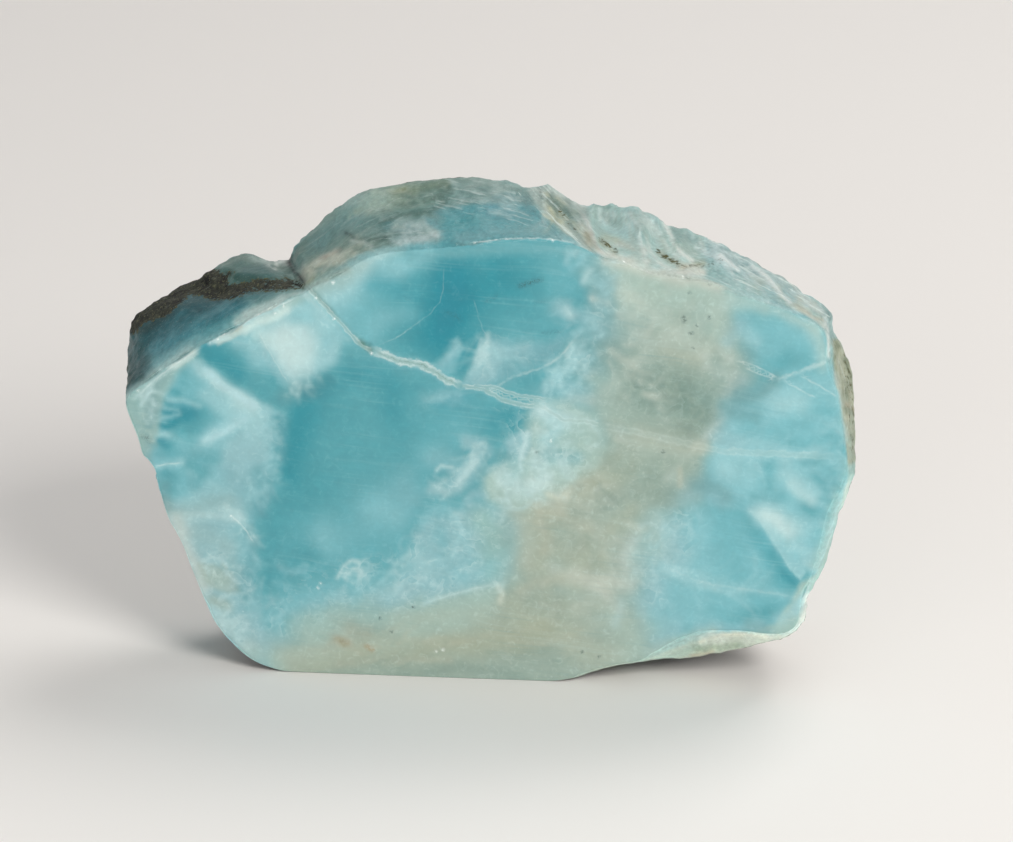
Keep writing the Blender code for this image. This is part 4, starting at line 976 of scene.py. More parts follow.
# The scooped hollows right of the ridge, with pale arrises and brown stains
SCOOPS = (
    area((168, 201, 197), 1.0, 3, (584, 192), (640, 192), (690, 214), (724, 236), (724, 268), (712, 284),
         (668, 280), (612, 262), (598, 246), (592, 226))
    + stroke((150, 172, 164), 0.85, 5, (596, 214), (600, 226), (606, 234))
    + stroke((144, 180, 180), 0.85, 4, (626, 208), (636, 216), (640, 224))
    + stroke((164, 198, 198), 0.85, 8, (606, 220), (618, 228), (630, 232))
    + stroke((124, 156, 150), 0.8, 5, (676, 230), (684, 238))
    + stroke((150, 176, 166), 0.6, 5, (676, 246), (700, 246))
    + stroke((192, 217, 217), 0.6, 6, (612, 218), (626, 224))
    + stroke((128, 167, 166), 0.6, 5, (638, 218), (643, 228), (642, 238))
    + stroke((158, 177, 168), 0.5, 4, (634, 258), (648, 260))
    + stroke((184, 194, 184), 0.8, 4, (618, 244), (628, 246), (644, 250))
    + stroke((166, 178, 160), 0.7, 3.4, (606, 238), (616, 240))
    + stroke((158, 184, 178), 0.8, 3, (632, 238), (638, 250))
    + stroke((206, 209, 198), 0.95, 3.4, (602, 254), (616, 259), (632, 262))
    + stroke((178, 194, 184), 0.7, 3.4, (634, 262), (648, 266))
    + stroke((150, 184, 184), 0.8, 4, (642, 214), (656, 220), (664, 228))
    + stroke((176, 198, 192), 0.8, 4, (646, 224), (654, 234), (660, 244))
    + stroke((194, 204, 192), 0.7, 3, (662, 240), (666, 250))
    + stroke((132, 160, 156), 0.95, 3.4, (673, 230), (678, 237), (684, 238))
    + stroke((146, 176, 174), 0.85, 4, (686, 236), (696, 242))
    + stroke((168, 188, 178), 0.8, 5, (680, 250), (696, 252))
    + stroke((152, 168, 152), 0.7, 3, (692, 261), (712, 262))
    + stroke((206, 210, 200), 0.9, 4, (664, 272), (686, 273), (708, 273))
    + stroke((194, 200, 186), 0.7, 2.4, (680, 268), (700, 267))
    + stroke((132, 172, 170), 0.35, 6, (640, 222), (652, 238), (664, 250))
    + stroke((130, 168, 164), 0.4, 6, (676, 236), (690, 246), (706, 250), (722, 258))
    + stroke((222, 230, 224), 0.85, 1.8, (664, 222), (669, 232), (674, 244), (682, 254), (692, 260))
    + stroke((206, 220, 214), 0.7, 1.8, (664, 240), (670, 250), (678, 258))
    + stroke((206, 220, 216), 0.65, 1.8, (630, 212), (636, 226), (640, 240), (645, 254))
    + stroke((198, 214, 208), 0.6, 1.8, (622, 214), (630, 226), (632, 238))
    + stroke((206, 218, 212), 0.6, 1.8, (646, 236), (650, 250), (658, 262), (672, 270))
    + stroke((188, 204, 196), 0.6, 1.8, (700, 238), (704, 250), (710, 260))
    + stroke((120, 148, 138), 0.5, 1.8, (594, 206), (606, 206), (618, 208))
    + stroke((162, 158, 126), 0.5, 3, (600, 241), (607, 246), (615, 253))
    + stroke((164, 156, 122), 0.5, 3, (660, 253), (668, 259), (684, 266))
    + stroke((160, 156, 126), 0.6, 1.8, (684, 266), (698, 264), (712, 264), (722, 262))
    + fibres((196, 212, 208), 0.5, 1.8, [(604, 210), (640, 216), (660, 228)], 62, 20, 36, 219, 16)
    + fibres((136, 162, 154), 0.45, 1.8, [(600, 216), (634, 222), (690, 244)], 60, 18, 36, 220, 18)
    + curls((204, 214, 206), 0.5, 1.8, [(598, 246), (720, 272), (706, 282), (610, 264)], 7, 26, 221)
)

# The streaked slope down to the right end, the knobbly skin there and the clear lower edge, painted pale
# partly for the light that shines through it
RIGHT_RIM = (
    area((150, 186, 184), 1.0, 3, (706, 232), (770, 256), (834, 296), (846, 340), (827, 346), (820, 326),
         (793, 315), (738, 297), (706, 284))
    + stroke((164, 188, 177), 0.7, 4, (742, 280), (758, 286))
    + stroke((184, 208, 206), 0.8, 3.4, (776, 282), (794, 296), (806, 306))
    + stroke((194, 206, 202), 0.8, 3, (800, 296), (812, 304), (822, 312))
    + stroke((186, 208, 208), 0.6, 3, (812, 306), (822, 310))
    + stroke((170, 176, 166), 0.75, 1.9, (768, 268), (784, 278), (798, 290))
    + stroke((176, 180, 162), 0.85, 2.2, (790, 302), (800, 308), (812, 318), (822, 320))
    + stroke((198, 206, 196), 0.7, 2.4, (798, 312), (812, 320), (824, 326))
    + stroke((140, 178, 178), 0.6, 4, (738, 280), (746, 286))
    + stroke((130, 182, 189), 0.7, 5, (774, 290), (790, 300))
    + stroke((204, 213, 204), 0.6, 4, (794, 309), (806, 315))
    + stroke((202, 212, 206), 0.6, 5, (794, 313), (806, 320))
    + stroke((116, 172, 178), 0.5, 8, (712, 254), (736, 266), (756, 278), (780, 294))
    + fibres((206, 222, 222), 0.5, 1.8, [(706, 244), (740, 262), (790, 290)], 36, 34, 60, 203, 4)
    + fibres((112, 150, 152), 0.45, 1.8, [(712, 246), (750, 266), (796, 296)], 36, 26, 44, 205, 5)
    + fibres((184, 190, 170), 0.3, 1.8, [(740, 276), (780, 296), (806, 310)], 34, 24, 26, 204, 8)
    + stroke((222, 232, 230), 0.8, 1.8, (720, 255), (730, 263), (738, 270))
    + stroke((222, 232, 230), 0.8, 1.8, (752, 266), (766, 276), (780, 292), (790, 302))
    + area((150, 178, 176), 0.95, 2.5, (823, 303), (836, 312), (844, 344), (833, 346), (827, 326))
    + stroke((118, 152, 152), 0.7, 1.9, (828, 312), (830, 328), (832, 342))
    + stroke((206, 218, 214), 0.75, 1.8, (825, 318), (828, 334), (829, 356))
    + stroke((182, 200, 194), 0.6, 1.8, (834, 326), (840, 340))
    + area((146, 156, 134), 1.0, 2.2, (832, 340), (846, 336), (860, 360), (870, 400), (868, 470),
           (852, 484), (846, 462), (843, 424), (838, 392), (834, 368))
    + stroke((128, 140, 118), 0.8, 3, (846, 362), (850, 378), (844, 392))
    + stroke((168, 172, 148), 0.8, 2.4, (850, 392), (852, 402))
    + stroke((164, 152, 124), 0.7, 1.9, (847, 404), (852, 408), (856, 410))
    + stroke((124, 142, 122), 0.8, 2.4, (850, 414), (852, 430), (853, 440))
    + stroke((148, 172, 158), 0.7, 3, (848, 440), (851, 456))
    + stroke((162, 190, 184), 0.75, 2.6, (843, 424), (846, 440))
    + stroke((176, 196, 190), 0.6, 2, (836, 374), (839, 390), (842, 404))
    + fibres((112, 126, 104), 0.6, 1.8, [(838, 346), (848, 374), (852, 430)], 84, 14, 30, 222, 14)
    + fibres((178, 182, 160), 0.5, 1.8, [(842, 350), (850, 384), (854, 440)], 86, 14, 24, 223, 14)
    + area((144, 178, 172), 1.0, 2.5, (848, 464), (864, 460), (858, 500), (842, 556), (820, 604),
           (808, 590), (826, 550), (842, 506))
    + stroke((180, 201, 193), 0.8, 2.4, (848, 484), (846, 496), (842, 506))
    + stroke((148, 178, 172), 0.8, 2.6, (838, 510), (834, 522))
    + stroke((162, 191, 188), 0.7, 3, (831, 528), (827, 546))
    + stroke((158, 196, 198), 0.6, 2.4, (846, 470), (838, 500), (830, 530))
    # The clear lower edge: pale, partly painted light that shines through the thin stone
    + stroke((188, 217, 216), 0.85, 3, (821, 552), (816, 566), (810, 580))
    + stroke((212, 220, 213), 0.85, 3, (808, 596), (805, 614), (800, 628))
    + area((184, 194, 182), 1.0, 2.5, (636, 664), (690, 642), (735, 632), (790, 634), (806, 622),
           (812, 640), (770, 652), (700, 668), (636, 676))
    + stroke((166, 188, 178), 1.0, 5, (634, 668), (664, 658), (696, 648))
    + stroke((192, 214, 209), 0.8, 3, (784, 633), (794, 630), (802, 626))
    + stroke((152, 186, 182), 0.8, 2.4, (748, 634), (762, 632), (774, 634))
    + stroke((150, 166, 146), 0.85, 3, (696, 650), (712, 648), (736, 645))
    + stroke((160, 178, 166), 0.7, 3.4, (676, 654), (692, 651))
    + stroke((208, 212, 196), 0.85, 1.9, (700, 642), (722, 635), (744, 634), (766, 636))
    + stroke((176, 166, 140), 0.6, 1.9, (692, 656), (712, 652))
    + fibres((206, 214, 204), 0.5, 1.8, [(700, 640), (740, 638), (780, 638)], -12, 18, 24, 224, 12)
    + fibres((132, 150, 134), 0.5, 1.8, [(690, 650), (720, 647), (750, 643)], -12, 18, 20, 225, 10)
)


# In the order in which they are painted
FACE_MARKS = (
    BLUE_GROUND, GREEN_BAND, PALE_MIDDLE, LEFT_CELL, LOWER_LEFT, UPPER_LEFT, WEDGES_AND_PUFFS,
    DEEP_RIGHT_CELL, RIGHT_CELLS,
)
RIM_MARKS = (LEFT_RIM, CROWN, BLUE_HOLLOW, SCOOPS, RIGHT_RIM)

# The dark crust on the rim, and thin stains of it; only the strength and the shape matter
CRUST_PATCH = (
    area(CRUST, 1.0, 5, (122, 340), (124, 312), (160, 284), (205, 262), (214, 266), (218, 274),
         (226, 276), (228, 284), (246, 283), (246, 292), (228, 298), (212, 299), (200, 295), (188, 296),
         (178, 305), (168, 314), (156, 319), (142, 322), (134, 334))
    + area(CRUST, 0.66, 5, (240, 282), (262, 279), (286, 276), (304, 281), (304, 288), (282, 290),
           (262, 292), (240, 295))
    + stroke(CRUST, 0.6, 3, (219, 271), (222, 277))
    + stroke(CRUST, 0.5, 3, (226, 276), (232, 272))
    + stroke(CRUST, 0.6, 3, (264, 289), (282, 289), (294, 286))
    + stroke(CRUST, 0.5, 2, (125, 340), (126, 372))
    + stroke(CRUST, 0.42, 3, (600, 240), (607, 244), (616, 252))
    + stroke(CRUST, 0.44, 3, (658, 251), (668, 258), (680, 265))
    + stroke(CRUST, 0.26, 4, (684, 267), (704, 265), (720, 262))
    + stroke(CRUST, 0.3, 4, (846, 348), (852, 396), (853, 450))
    + stroke(CRUST, 0.22, 4, (540, 192), (562, 214), (580, 236))
)

# Where the sawn face's colours run on over its edge
SOFT_EDGE = (
    stroke(WHITE, 1.0, 11, (300, 288), (324, 276), (348, 264), (376, 254), (440, 250))
    + stroke(WHITE, 1.0, 11, (604, 262), (640, 272), (700, 284), (738, 296), (793, 314), (822, 330))
    + stroke(WHITE, 0.8, 9, (838, 400), (842, 440), (842, 490), (826, 540), (806, 590))
)

# Where the white of the stone lies in folded sheets like smoke; only the strength and the shape matter
WISPY = (
    area(WHITE, 1.0, 9, (500, 408), (566, 404), (604, 434), (598, 462), (566, 506), (512, 514),
         (486, 500), (486, 470), (512, 448))
    + area(WHITE, 0.9, 10, (420, 520), (452, 504), (500, 510), (506, 560), (496, 590), (420, 610),
           (372, 616), (396, 570))
    + area(WHITE, 0.85, 9, (316, 564), (400, 552), (420, 590), (340, 612), (286, 640), (252, 636),
           (262, 604))
    + area(WHITE, 0.8, 8, (196, 548), (250, 548), (262, 610), (262, 660), (236, 650), (206, 600))
    + area(WHITE, 0.7, 9, (548, 352), (584, 330), (600, 250), (640, 262), (622, 330), (600, 392),
           (566, 404))
    + area(WHITE, 0.28, 14, (610, 262), (730, 296), (740, 380), (700, 470), (640, 540), (616, 600),
           (640, 660), (480, 670), (520, 600), (524, 516), (600, 460))
    + area(WHITE, 0.6, 8, (636, 524), (680, 500), (700, 520), (680, 600), (640, 620))
    + stroke(WHITE, 0.8, 9, (480, 444), (470, 468), (440, 492))
    + stroke(WHITE, 0.6, 9, (268, 410), (274, 440), (266, 480))
    + stroke(WHITE, 0.6, 10, (498, 346), (480, 370), (540, 350))
    + stroke(WHITE, 0.5, 9, (740, 330), (756, 350), (740, 368))
    + stroke(WHITE, 0.5, 12, (376, 236), (440, 236), (480, 200))
    + area(WHITE, 0.45, 5, (586, 200), (640, 204), (720, 240), (820, 306), (800, 314), (700, 280),
           (612, 258))
)

# Painted shade: the dark inside of the crack at the notch in the rim
NOTCH_CRACK_SHADE = stroke((62, 62, 48), 1.0, 2.1, (289, 254), (290, 264), (295, 272), (303, 281))

# Veins: the half width of each, its strength and its path, in picture pixels
MAIN_VEINS = [
    (1.4, 0.6, [(303, 283), (309, 289), (319, 300), (336, 318), (347, 330), (357, 341), (363, 347),
                (376, 352)]),
    (3.0, 1.0, [(372, 350), (384, 355), (399, 361), (418, 364), (433, 370), (447, 380), (461, 386)]),
    (1.8, 0.7, [(455, 384), (470, 387), (484, 389), (499, 398), (515, 403), (537, 407)]),
    (1.4, 0.6, [(476, 386), (486, 386), (500, 389), (516, 395), (530, 397), (547, 399)]),
    (1.8, 0.45, [(538, 404), (552, 413), (564, 420), (590, 422), (604, 426)]),
    (2.4, 0.25, [(600, 425), (640, 433), (684, 443), (722, 451), (761, 453), (800, 455), (838, 457)]),
]
FINE_VEINS = [
    (1.2, 0.26, [(490, 389), (502, 384), (512, 377), (531, 371), (544, 367), (556, 360), (565, 351),
                 (573, 341), (580, 334)]),
    (0.6, 0.14, [(474, 300), (477, 312), (482, 328), (487, 336)]),
    (0.6, 0.14, [(444, 268), (443, 290), (440, 302), (432, 312), (422, 320), (410, 328), (396, 338),
                 (378, 345)]),
    (0.7, 0.30, [(412, 327), (404, 333), (394, 339)]),
    (0.7, 0.22, [(258, 330), (266, 346), (275, 362), (288, 382)]),
    (0.8, 0.45, [(738, 361), (752, 365), (764, 370), (778, 378)]),
    (0.8, 0.40, [(746, 368), (758, 374), (774, 379)]),
    (2.0, 0.35, [(776, 380), (800, 372), (826, 362), (840, 352)]),
    (0.9, 0.30, [(782, 380), (800, 390), (816, 398)]),
    (0.9, 0.35, [(800, 375), (816, 384), (836, 396)]),
    (0.7, 0.45, [(230, 515), (241, 524), (248, 533), (253, 542)]),
    (0.8, 0.35, [(157, 466), (168, 464), (181, 463)]),
    (0.8, 0.16, [(426, 603), (444, 597), (464, 591), (492, 585)]),
    (1.2, 0.14, [(668, 568), (697, 581), (720, 586), (757, 591), (799, 597)]),
]
# Painted highlight: thin bright lines along the sawn edge where it catches the light, laid out like the veins
EDGE_LIGHT = [
    (0.8, 0.55, [(471, 243), (505, 239), (538, 238), (556, 240), (574, 243)]),
    (0.9, 0.45, [(212, 341), (236, 328), (262, 312), (282, 304), (296, 298)]),
    (0.8, 0.35, [(139, 395), (158, 377), (180, 361), (200, 349)]),
    (0.8, 0.2, [(604, 260), (625, 264), (660, 276), (690, 279)]),
]

# The open part of the main vein's crack, and the pit beside it
CRACK_DEPTH = 0.09 * MM
PIT_DEPTH = 0.3 * MM
CRACK_PIT = (368, 346)

# Specks of dark mineral, and bright flecks, most of them painted glints where the edges catch the light:
# place and radius in picture pixels
SPECKS = [
    (663, 452, 1.1), (683, 318, 1.1), (684, 321, 1.0), (710, 317, 0.9), (691, 333, 1.0), (690, 292, 0.9),
    (697, 326, 0.6), (709, 284, 0.9), (693, 348, 0.6), (380, 618, 1.1), (147, 438, 1.4), (413, 607, 0.9),
    (583, 652, 1.0), (599, 657, 0.8), (537, 452, 0.7), (392, 632, 0.7),
]
SMUDGES = [
    (0.9, 2.2, [(519, 286), (526, 284), (534, 281), (541, 280)]),
    (0.4, 1.6, [(484, 302), (490, 300), (496, 296)]),
    (0.3, 1.6, [(535, 303), (546, 301)]),
    (0.35, 2.0, [(543, 333), (562, 331)]),
    (0.25, 1.6, [(403, 296), (408, 299)]),
    (0.35, 2.4, [(446, 312), (456, 316), (462, 320)]),
    (0.5, 3.0, [(142, 436), (150, 441)]),
]
FLECKS_AND_GLINTS = [
    (551, 440, 0.5), (475, 243, 0.9), (497, 239, 0.7), (506, 239, 0.7), (520, 238, 0.6), (537, 238, 0.8),
    (553, 240, 0.7), (275, 313, 0.7), (284, 306, 0.5), (259, 314, 0.7), (225, 334, 0.8), (218, 339, 0.8),
    (185, 358, 0.6), (178, 361, 0.7), (138, 390, 0.6), (335, 319, 1.0), (316, 298, 0.7), (333, 283, 0.8),
    (372, 353, 0.7), (436, 652, 0.6), (442, 650, 0.5), (767, 303, 0.5), (738, 295, 0.5), (653, 273, 0.5),
    (684, 277, 0.6), (624, 262, 0.6), (607, 257, 0.5), (321, 583, 0.5), (318, 588, 0.4), (231, 516, 0.6),
]


# How marks stray from their places: from which width on, how far and how wide, in picture pixels
WANDER = ((0, 0.8, 10), (4, 2.6, 24), (9, 6.5, 60))


class Canvas:
    """The colours of points, painted one mark over another where each point shows in the picture."""

    def __init__(self, points):
        self.places = in_picture(points)
        deep = np.column_stack([self.places, points[:, 1] / MM * 4])
        self.warps = []
        for least, reach, size in WANDER:
            push = np.column_stack([fractal(deep, size, 2, seed) for seed in (11, 23)])
            self.warps.append((least, self.places + reach * push))
        self.shown = self.warps[0][1]

    def coverage(self, mark):
        """Which points a mark paints, and how much of the paint each of them takes."""
        places = [warp for least, warp in self.warps if mark.width >= least][-1]
        margin = 2.6 * mark.width + 2
        low, high = mark.path.min(axis=0) - margin, mark.path.max(axis=0) + margin
        near = np.flatnonzero(((places > low) & (places < high)).all(axis=1))
        spots = places[near]
        if mark.kind == "area":
            distance = path_distance(spots, np.vstack([mark.path, mark.path[:1]]))[0]
            distance = np.where(inside(spots, mark.path), -distance, distance)
            return near, mark.strength * smooth(mark.width, -mark.width, distance)
        distance, _, along = path_distance(spots, mark.path)
        share = mark.strength * np.exp(-0.7 * (distance / mark.width) ** 2)
        return near, share * (1 - along) ** 0.6 if mark.kind == "fibre" else share

    def paint(self, colours, marks):
        """Paints the marks over the colours."""
        for mark in marks:
            near, cover = self.coverage(mark)
            colours[near] += (linear(mark.pigment) - colours[near]) * cover[:, None]

    def covered(self, marks):
        """How much of every point the marks cover."""
        cover = np.zeros(len(self.places))
        for mark in marks:
            near, share = self.coverage(mark)
            cover[near] = np.maximum(cover[near], share)
        return cover


def vein_fields(places, veins, reach):
    """Signed distance to the nearest vein in half widths, and how strong it is, for each point."""
    nearest = np.full(len(places), 1e9)
    signed = np.full(len(places), 9.0)
    strength = np.zeros(len(places))
    for width, power, path in veins:
        distance, side, along = path_distance(places, np.array(path, float))
        taper = np.minimum(1, 8 * np.minimum(along, 1 - along) + 0.25)
        units = distance / width
        mine = units < nearest
        nearest[mine] = units[mine]
        signed[mine] = (side * units)[mine]
        strength[mine] = (power * taper)[mine]
    strength *= smooth(reach, reach * 0.6, nearest)
    return np.clip(signed, -9, 9), strength


def dots(places, spots, soften=1.0):
    """1 on each spot and 0 away from it."""
    found = np.zeros(len(places))
    for x, y, radius in spots:
        distance = np.hypot(places[:, 0] - x, places[:, 1] - y)
        found = np.maximum(found, smooth(radius + soften, radius * 0.6, distance))
    return found


# The lights: name, place, watts, size and colour, and the spot that they shine on
LAMPS = (
    ("key", (0.42, -0.52, 0.46), 4.4, 0.30, (1.0, 0.97, 0.93)),
    ("fill", (-0.35, -0.70, 0.10), 1.9, 0.60, (0.95, 0.98, 1.0)),
    ("back", (0.30, 0.38, 0.72), 3.0, 0.40, (1.0, 0.98, 0.95)),
)
LIT_SPOT = (0, 0, 0.025)
# The sky's strength, and how strongly the pale floor shines back up
SKY_STRENGTH = 0.27
GROUND_GLOW = 0.30

# The stone's mesh
SAWN_SPACING = 0.215 * MM
CALM_SPACING = 0.32 * MM
VEIN_SPACING = 0.17 * MM
# The longest edges of the rough part before they are cut in two, in millimetres
LONGEST_SEEN = 0.30
LONGEST_HIDDEN = 0.95
# Faces turned away less than this, and no farther behind the sawn face than this, count as seen
JUST_TURNED_AWAY = -0.15
SEEN_DEPTH = 19 * MM
SHARP_ANGLE = 38
# The worn sawn edge: how far it goes back and in, and its chips as place, reach in pixels and depth
BEVEL_BACK = 0.16 * MM
BEVEL_IN = 0.13 * MM
EDGE_CHIPS = [
    (230, 331, 9, 0.5), (182, 357, 9, 0.45), (273, 309, 6, 0.35), (336, 277, 7, 0.4),
    (475, 243, 4, 0.3), (515, 239, 5, 0.25), (604, 260, 6, 0.3), (686, 278, 6, 0.35),
    (150, 376, 7, 0.4), (146, 462, 5, 0.5), (805, 319, 6, 0.3), (738, 295, 4, 0.3), (837, 455, 7, 0.3),
    (806, 590, 7, 0.35), (700, 642, 9, 0.35), (655, 658, 6, 0.3), (208, 606, 6, 0.3),
    (240, 648, 6, 0.35),
]
# Parts of the sawn face that are even in colour, where the mesh may be coarser
CALM_PARTS = [
    [(384, 282), (440, 266), (566, 266), (572, 292), (548, 316), (500, 324), (470, 326), (452, 352),
     (412, 344), (376, 324)],
    [(302, 404), (352, 380), (440, 400), (480, 410), (440, 434), (422, 470), (402, 512), (360, 544),
     (300, 552), (272, 566), (282, 510), (298, 450)],
    [(762, 320), (814, 332), (818, 352), (776, 360)],
    [(690, 540), (740, 522), (782, 572), (772, 606), (700, 606), (676, 590)],
    [(626, 300), (716, 310), (722, 350), (700, 430), (628, 412), (612, 366)],
    [(330, 640), (430, 626), (520, 600), (610, 600), (626, 664), (400, 674), (320, 664)],
    [(172, 386), (196, 378), (226, 410), (196, 436), (174, 430)],
    [(206, 350), (250, 344), (276, 380), (250, 384)],
    [(730, 400), (820, 390), (832, 440), (728, 444)],
]
# The broken surface's relief in millimetres: how wide its forms are, how deep they go or how far
# they stand out, and where their arrises are cut off
PATCH_SIZE = 9.0
FLAKE_SIZE, FLAKE_DEPTH, FLAKE_TOP = 2.6, 0.20, 0.10
CHIP_SIZE, CHIP_DEPTH, CHIP_TOP = 1.05, 0.10, 0.07
GRAIN_SIZE, GRAIN_DEPTH = 0.9, 0.06
STEP_SIZE, STEP_DEPTH = 0.9, 0.08
LUMP_SIZE, LUMP_DEPTH = 3.4, 0.42
BACK_FLAKE_SIZE, BACK_FLAKE_DEPTH = 4.6, 0.30
# How far behind the sawn face the rim's relief and its hollows end and the back's begins
RIM_TO, HOLLOWS_TO, BACK_FROM = 14.0, 17.0, 18.0
# Scooped hollows in the rim: middle and half sizes in picture pixels, turn in degrees, depth
HOLLOWS = [
    (612, 224, 24, 17, 40, 0.75 * MM), (656, 242, 21, 14, 32, 0.7 * MM),
    (696, 247, 20, 12, 30, 0.55 * MM), (508, 212, 54, 24, 8, 0.45 * MM),
    (338, 236, 46, 20, -38, 0.35 * MM), (420, 226, 40, 16, -8, 0.3 * MM),
    (192, 314, 60, 16, -30, 0.25 * MM), (252, 266, 32, 12, 4, 0.35 * MM),
    (560, 214, 44, 9, 52, 0.4 * MM), (740, 266, 40, 8, 32, 0.35 * MM), (792, 292, 34, 7, 34, 0.35 * MM),
    (846, 380, 34, 8, 80, 0.3 * MM),
]

# Which way the broken surface is streaked: how strongly, how far to each side in picture pixels, and a path
STREAKS = [
    (0.85, 26, [(690, 246), (740, 268), (790, 294), (836, 322)]),
    (0.85, 20, [(524, 180), (562, 220), (608, 262)]),
    (0.4, 24, [(430, 190), (500, 206), (570, 228)]),
    (0.2, 26, [(290, 270), (350, 225), (400, 200), (480, 184)]),
    (0.2, 20, [(296, 288), (340, 258), (380, 243), (450, 240)]),
    (0.05, 30, [(116, 392), (180, 345), (262, 297)]),
    (0.35, 12, [(826, 300), (834, 360), (846, 400), (854, 480)]),
    (0.3, 10, [(848, 482), (832, 540), (804, 610)]),
]


# The stone's outline in the picture, from the left end over the top to the foot at the right
OUTLINE = [
    (127, 400), (126, 388), (126, 376), (127, 360), (129, 342), (130, 330), (131, 322), (134, 318),
    (139, 312), (145, 308), (152, 303), (160, 297), (167, 295), (173, 290), (180, 286), (187, 283),
    (193, 280), (198, 279), (204, 273), (209, 271), (215, 267), (222, 262), (230, 258), (238, 255),
    (247, 253), (253, 254), (258, 256), (263, 258), (270, 259), (277, 258), (283, 258), (287, 259),
    (289, 257), (290, 253), (293, 249), (297, 244), (301, 239), (307, 234), (313, 229), (319, 224),
    (324, 218), (330, 212), (336, 208), (343, 204), (349, 199), (356, 195), (363, 191), (371, 189),
    (380, 187), (390, 186), (400, 184), (413, 181), (426, 180), (438, 179), (450, 178), (460, 177),
    (468, 177), (472, 175), (479, 176), (486, 178), (493, 180), (500, 180), (506, 180), (512, 182),
    (518, 184), (522, 187), (530, 187), (538, 186), (543, 185), (548, 184), (552, 187), (556, 190),
    (561, 193), (567, 197), (574, 201), (581, 204), (588, 206), (594, 203), (600, 205), (607, 205),
    (612, 203), (618, 206), (624, 207), (631, 206), (638, 207), (643, 211), (650, 213), (656, 216),
    (662, 220), (667, 225), (673, 226), (680, 228), (686, 228), (692, 231), (697, 234), (703, 235),
    (709, 239), (715, 242), (721, 243), (729, 247), (737, 252), (745, 256), (753, 260), (760, 265),
    (767, 269), (775, 273), (783, 276), (790, 281), (797, 287), (803, 293), (810, 295), (816, 299),
    (822, 303), (827, 308), (831, 313), (833, 318), (832, 324), (834, 332), (838, 338), (842, 343),
    (844, 350), (846, 356), (849, 361), (851, 368), (853, 378), (854, 392), (854, 404), (855, 416),
    (855, 430), (856, 441), (855, 452), (856, 466), (855, 475), (852, 481), (849, 490), (845, 502),
    (840, 513), (836, 526), (832, 541), (828, 555), (824, 567), (818, 579), (812, 592), (808, 606),
    (806, 618), (801, 630), (790, 637), (772, 642), (752, 647), (730, 651), (706, 656), (680, 659),
    (664, 660),
]
# The outline is fitted as seen from this spot in the picture, and no point is pushed farther in pixels
HEART = np.array([490, 460])
LONGEST_PUSH = 14


def rough_part(cad):
    """The stone without its sawn face, finer where the picture shows it.

    Gives its points, their normals, its faces and the points along its open edge.
    """
    cage = rounded_cage(cad)
    fine = bmesh.new()
    fine.from_mesh(cage.evaluated_get(bpy.context.evaluated_depsgraph_get()).to_mesh())
    bpy.data.objects.remove(cage)
    cut_in_two(fine, {e for f in fine.faces if faces_eye(f) for e in f.edges})
    for shown, longest in ((True, LONGEST_SEEN), (False, LONGEST_HIDDEN)):
        wanted = {e for f in fine.faces if faces_eye(f) == shown for e in f.edges}
        cut_in_two(fine, [e for e in wanted if seen_length(e, shown) > longest])
    fine.normal_update()
    points = np.array([v.co[:] for v in fine.verts])
    normals = np.array([v.normal[:] for v in fine.verts])
    faces = [tuple(v.index for v in f.verts) for f in fine.faces]
    fine.free()
    return points, normals, faces, open_edge(faces)


def rounded_cage(cad):
    """An object with the CAD mesh without its sawn face, and a modifier that rounds it once."""
    mesh = bmesh.new()
    mesh.from_mesh(cad.data)
    bmesh.ops.remove_doubles(mesh, verts=mesh.verts, dist=0.002 * MM)
    sawn = [f for f in mesh.faces if max(v.co.y for v in f.verts) < LOW[1] + 0.001 * MM]
    bmesh.ops.delete(mesh, geom=sawn, context="FACES")
    bmesh.ops.join_triangles(
        mesh, faces=mesh.faces, angle_face_threshold=0.7, angle_shape_threshold=1.2
    )
    data = bpy.data.meshes.new("rough_cage")
    mesh.to_mesh(data)
    mesh.free()
    cage = bpy.data.objects.new("rough_cage", data)
    bpy.context.scene.collection.objects.link(cage)
    cage.modifiers.new("rounding", "SUBSURF").levels = 1
    bpy.context.view_layer.update()
    return cage


def cut_in_two(mesh, edges):
    """Cuts edges in two, and the faces beside them."""
    bmesh.ops.subdivide_edges(mesh, edges=list(edges), cuts=1, use_grid_fill=True, smooth=0.0)


def seen_length(edge, shown):
    """How long an edge is in millimetres, or across the view only where the picture shows it."""
    way = edge.verts[1].co - edge.verts[0].co
    if shown:
        way = way - way.dot(Vector(BACKWARD)) * Vector(BACKWARD)
    return way.length / MM


def faces_eye(face):
    """True where the picture shows a face, or nearly does."""
    middle = face.calc_center_median()
    way = (Vector(EYE) - middle).normalized()
    return face.normal.dot(way) > JUST_TURNED_AWAY and middle.y < LOW[1] + SEEN_DEPTH


def open_edge(faces):
    """The points along a mesh's one open edge, in order."""
    used = {}
    for face in faces:
        for a, b in zip(face, face[1:] + face[:1]):
            used[a, b] = True
    onward = {b: a for a, b in used if (b, a) not in used}
    start = next(iter(onward))
    loop = [start]
    while onward[loop[-1]] != start:
        loop.append(onward[loop[-1]])
    return loop


def hollows(points):
    """How deep the named hollows go at each point, and how much of each point they smooth."""
    places = in_picture(points)
    depths = np.zeros(len(points))
    smoothed = np.zeros(len(points))
    for x, y, long, short, turn, depth in HOLLOWS:
        c, s = math.cos(math.radians(turn)), math.sin(math.radians(turn))
        offset = places - (x, y)
        along, across = offset @ (c, s) / long, offset @ (-s, c) / short
        inner = 1 - along**2 - across**2
        depths = np.maximum(depths, depth * np.clip(inner, 0, 1))
        smoothed = np.maximum(smoothed, smooth(-0.05, 0.25, inner))
    shown = smooth(HOLLOWS_TO * MM, RIM_TO * MM, points[:, 1] - LOW[1])
    return depths * shown, smoothed * shown


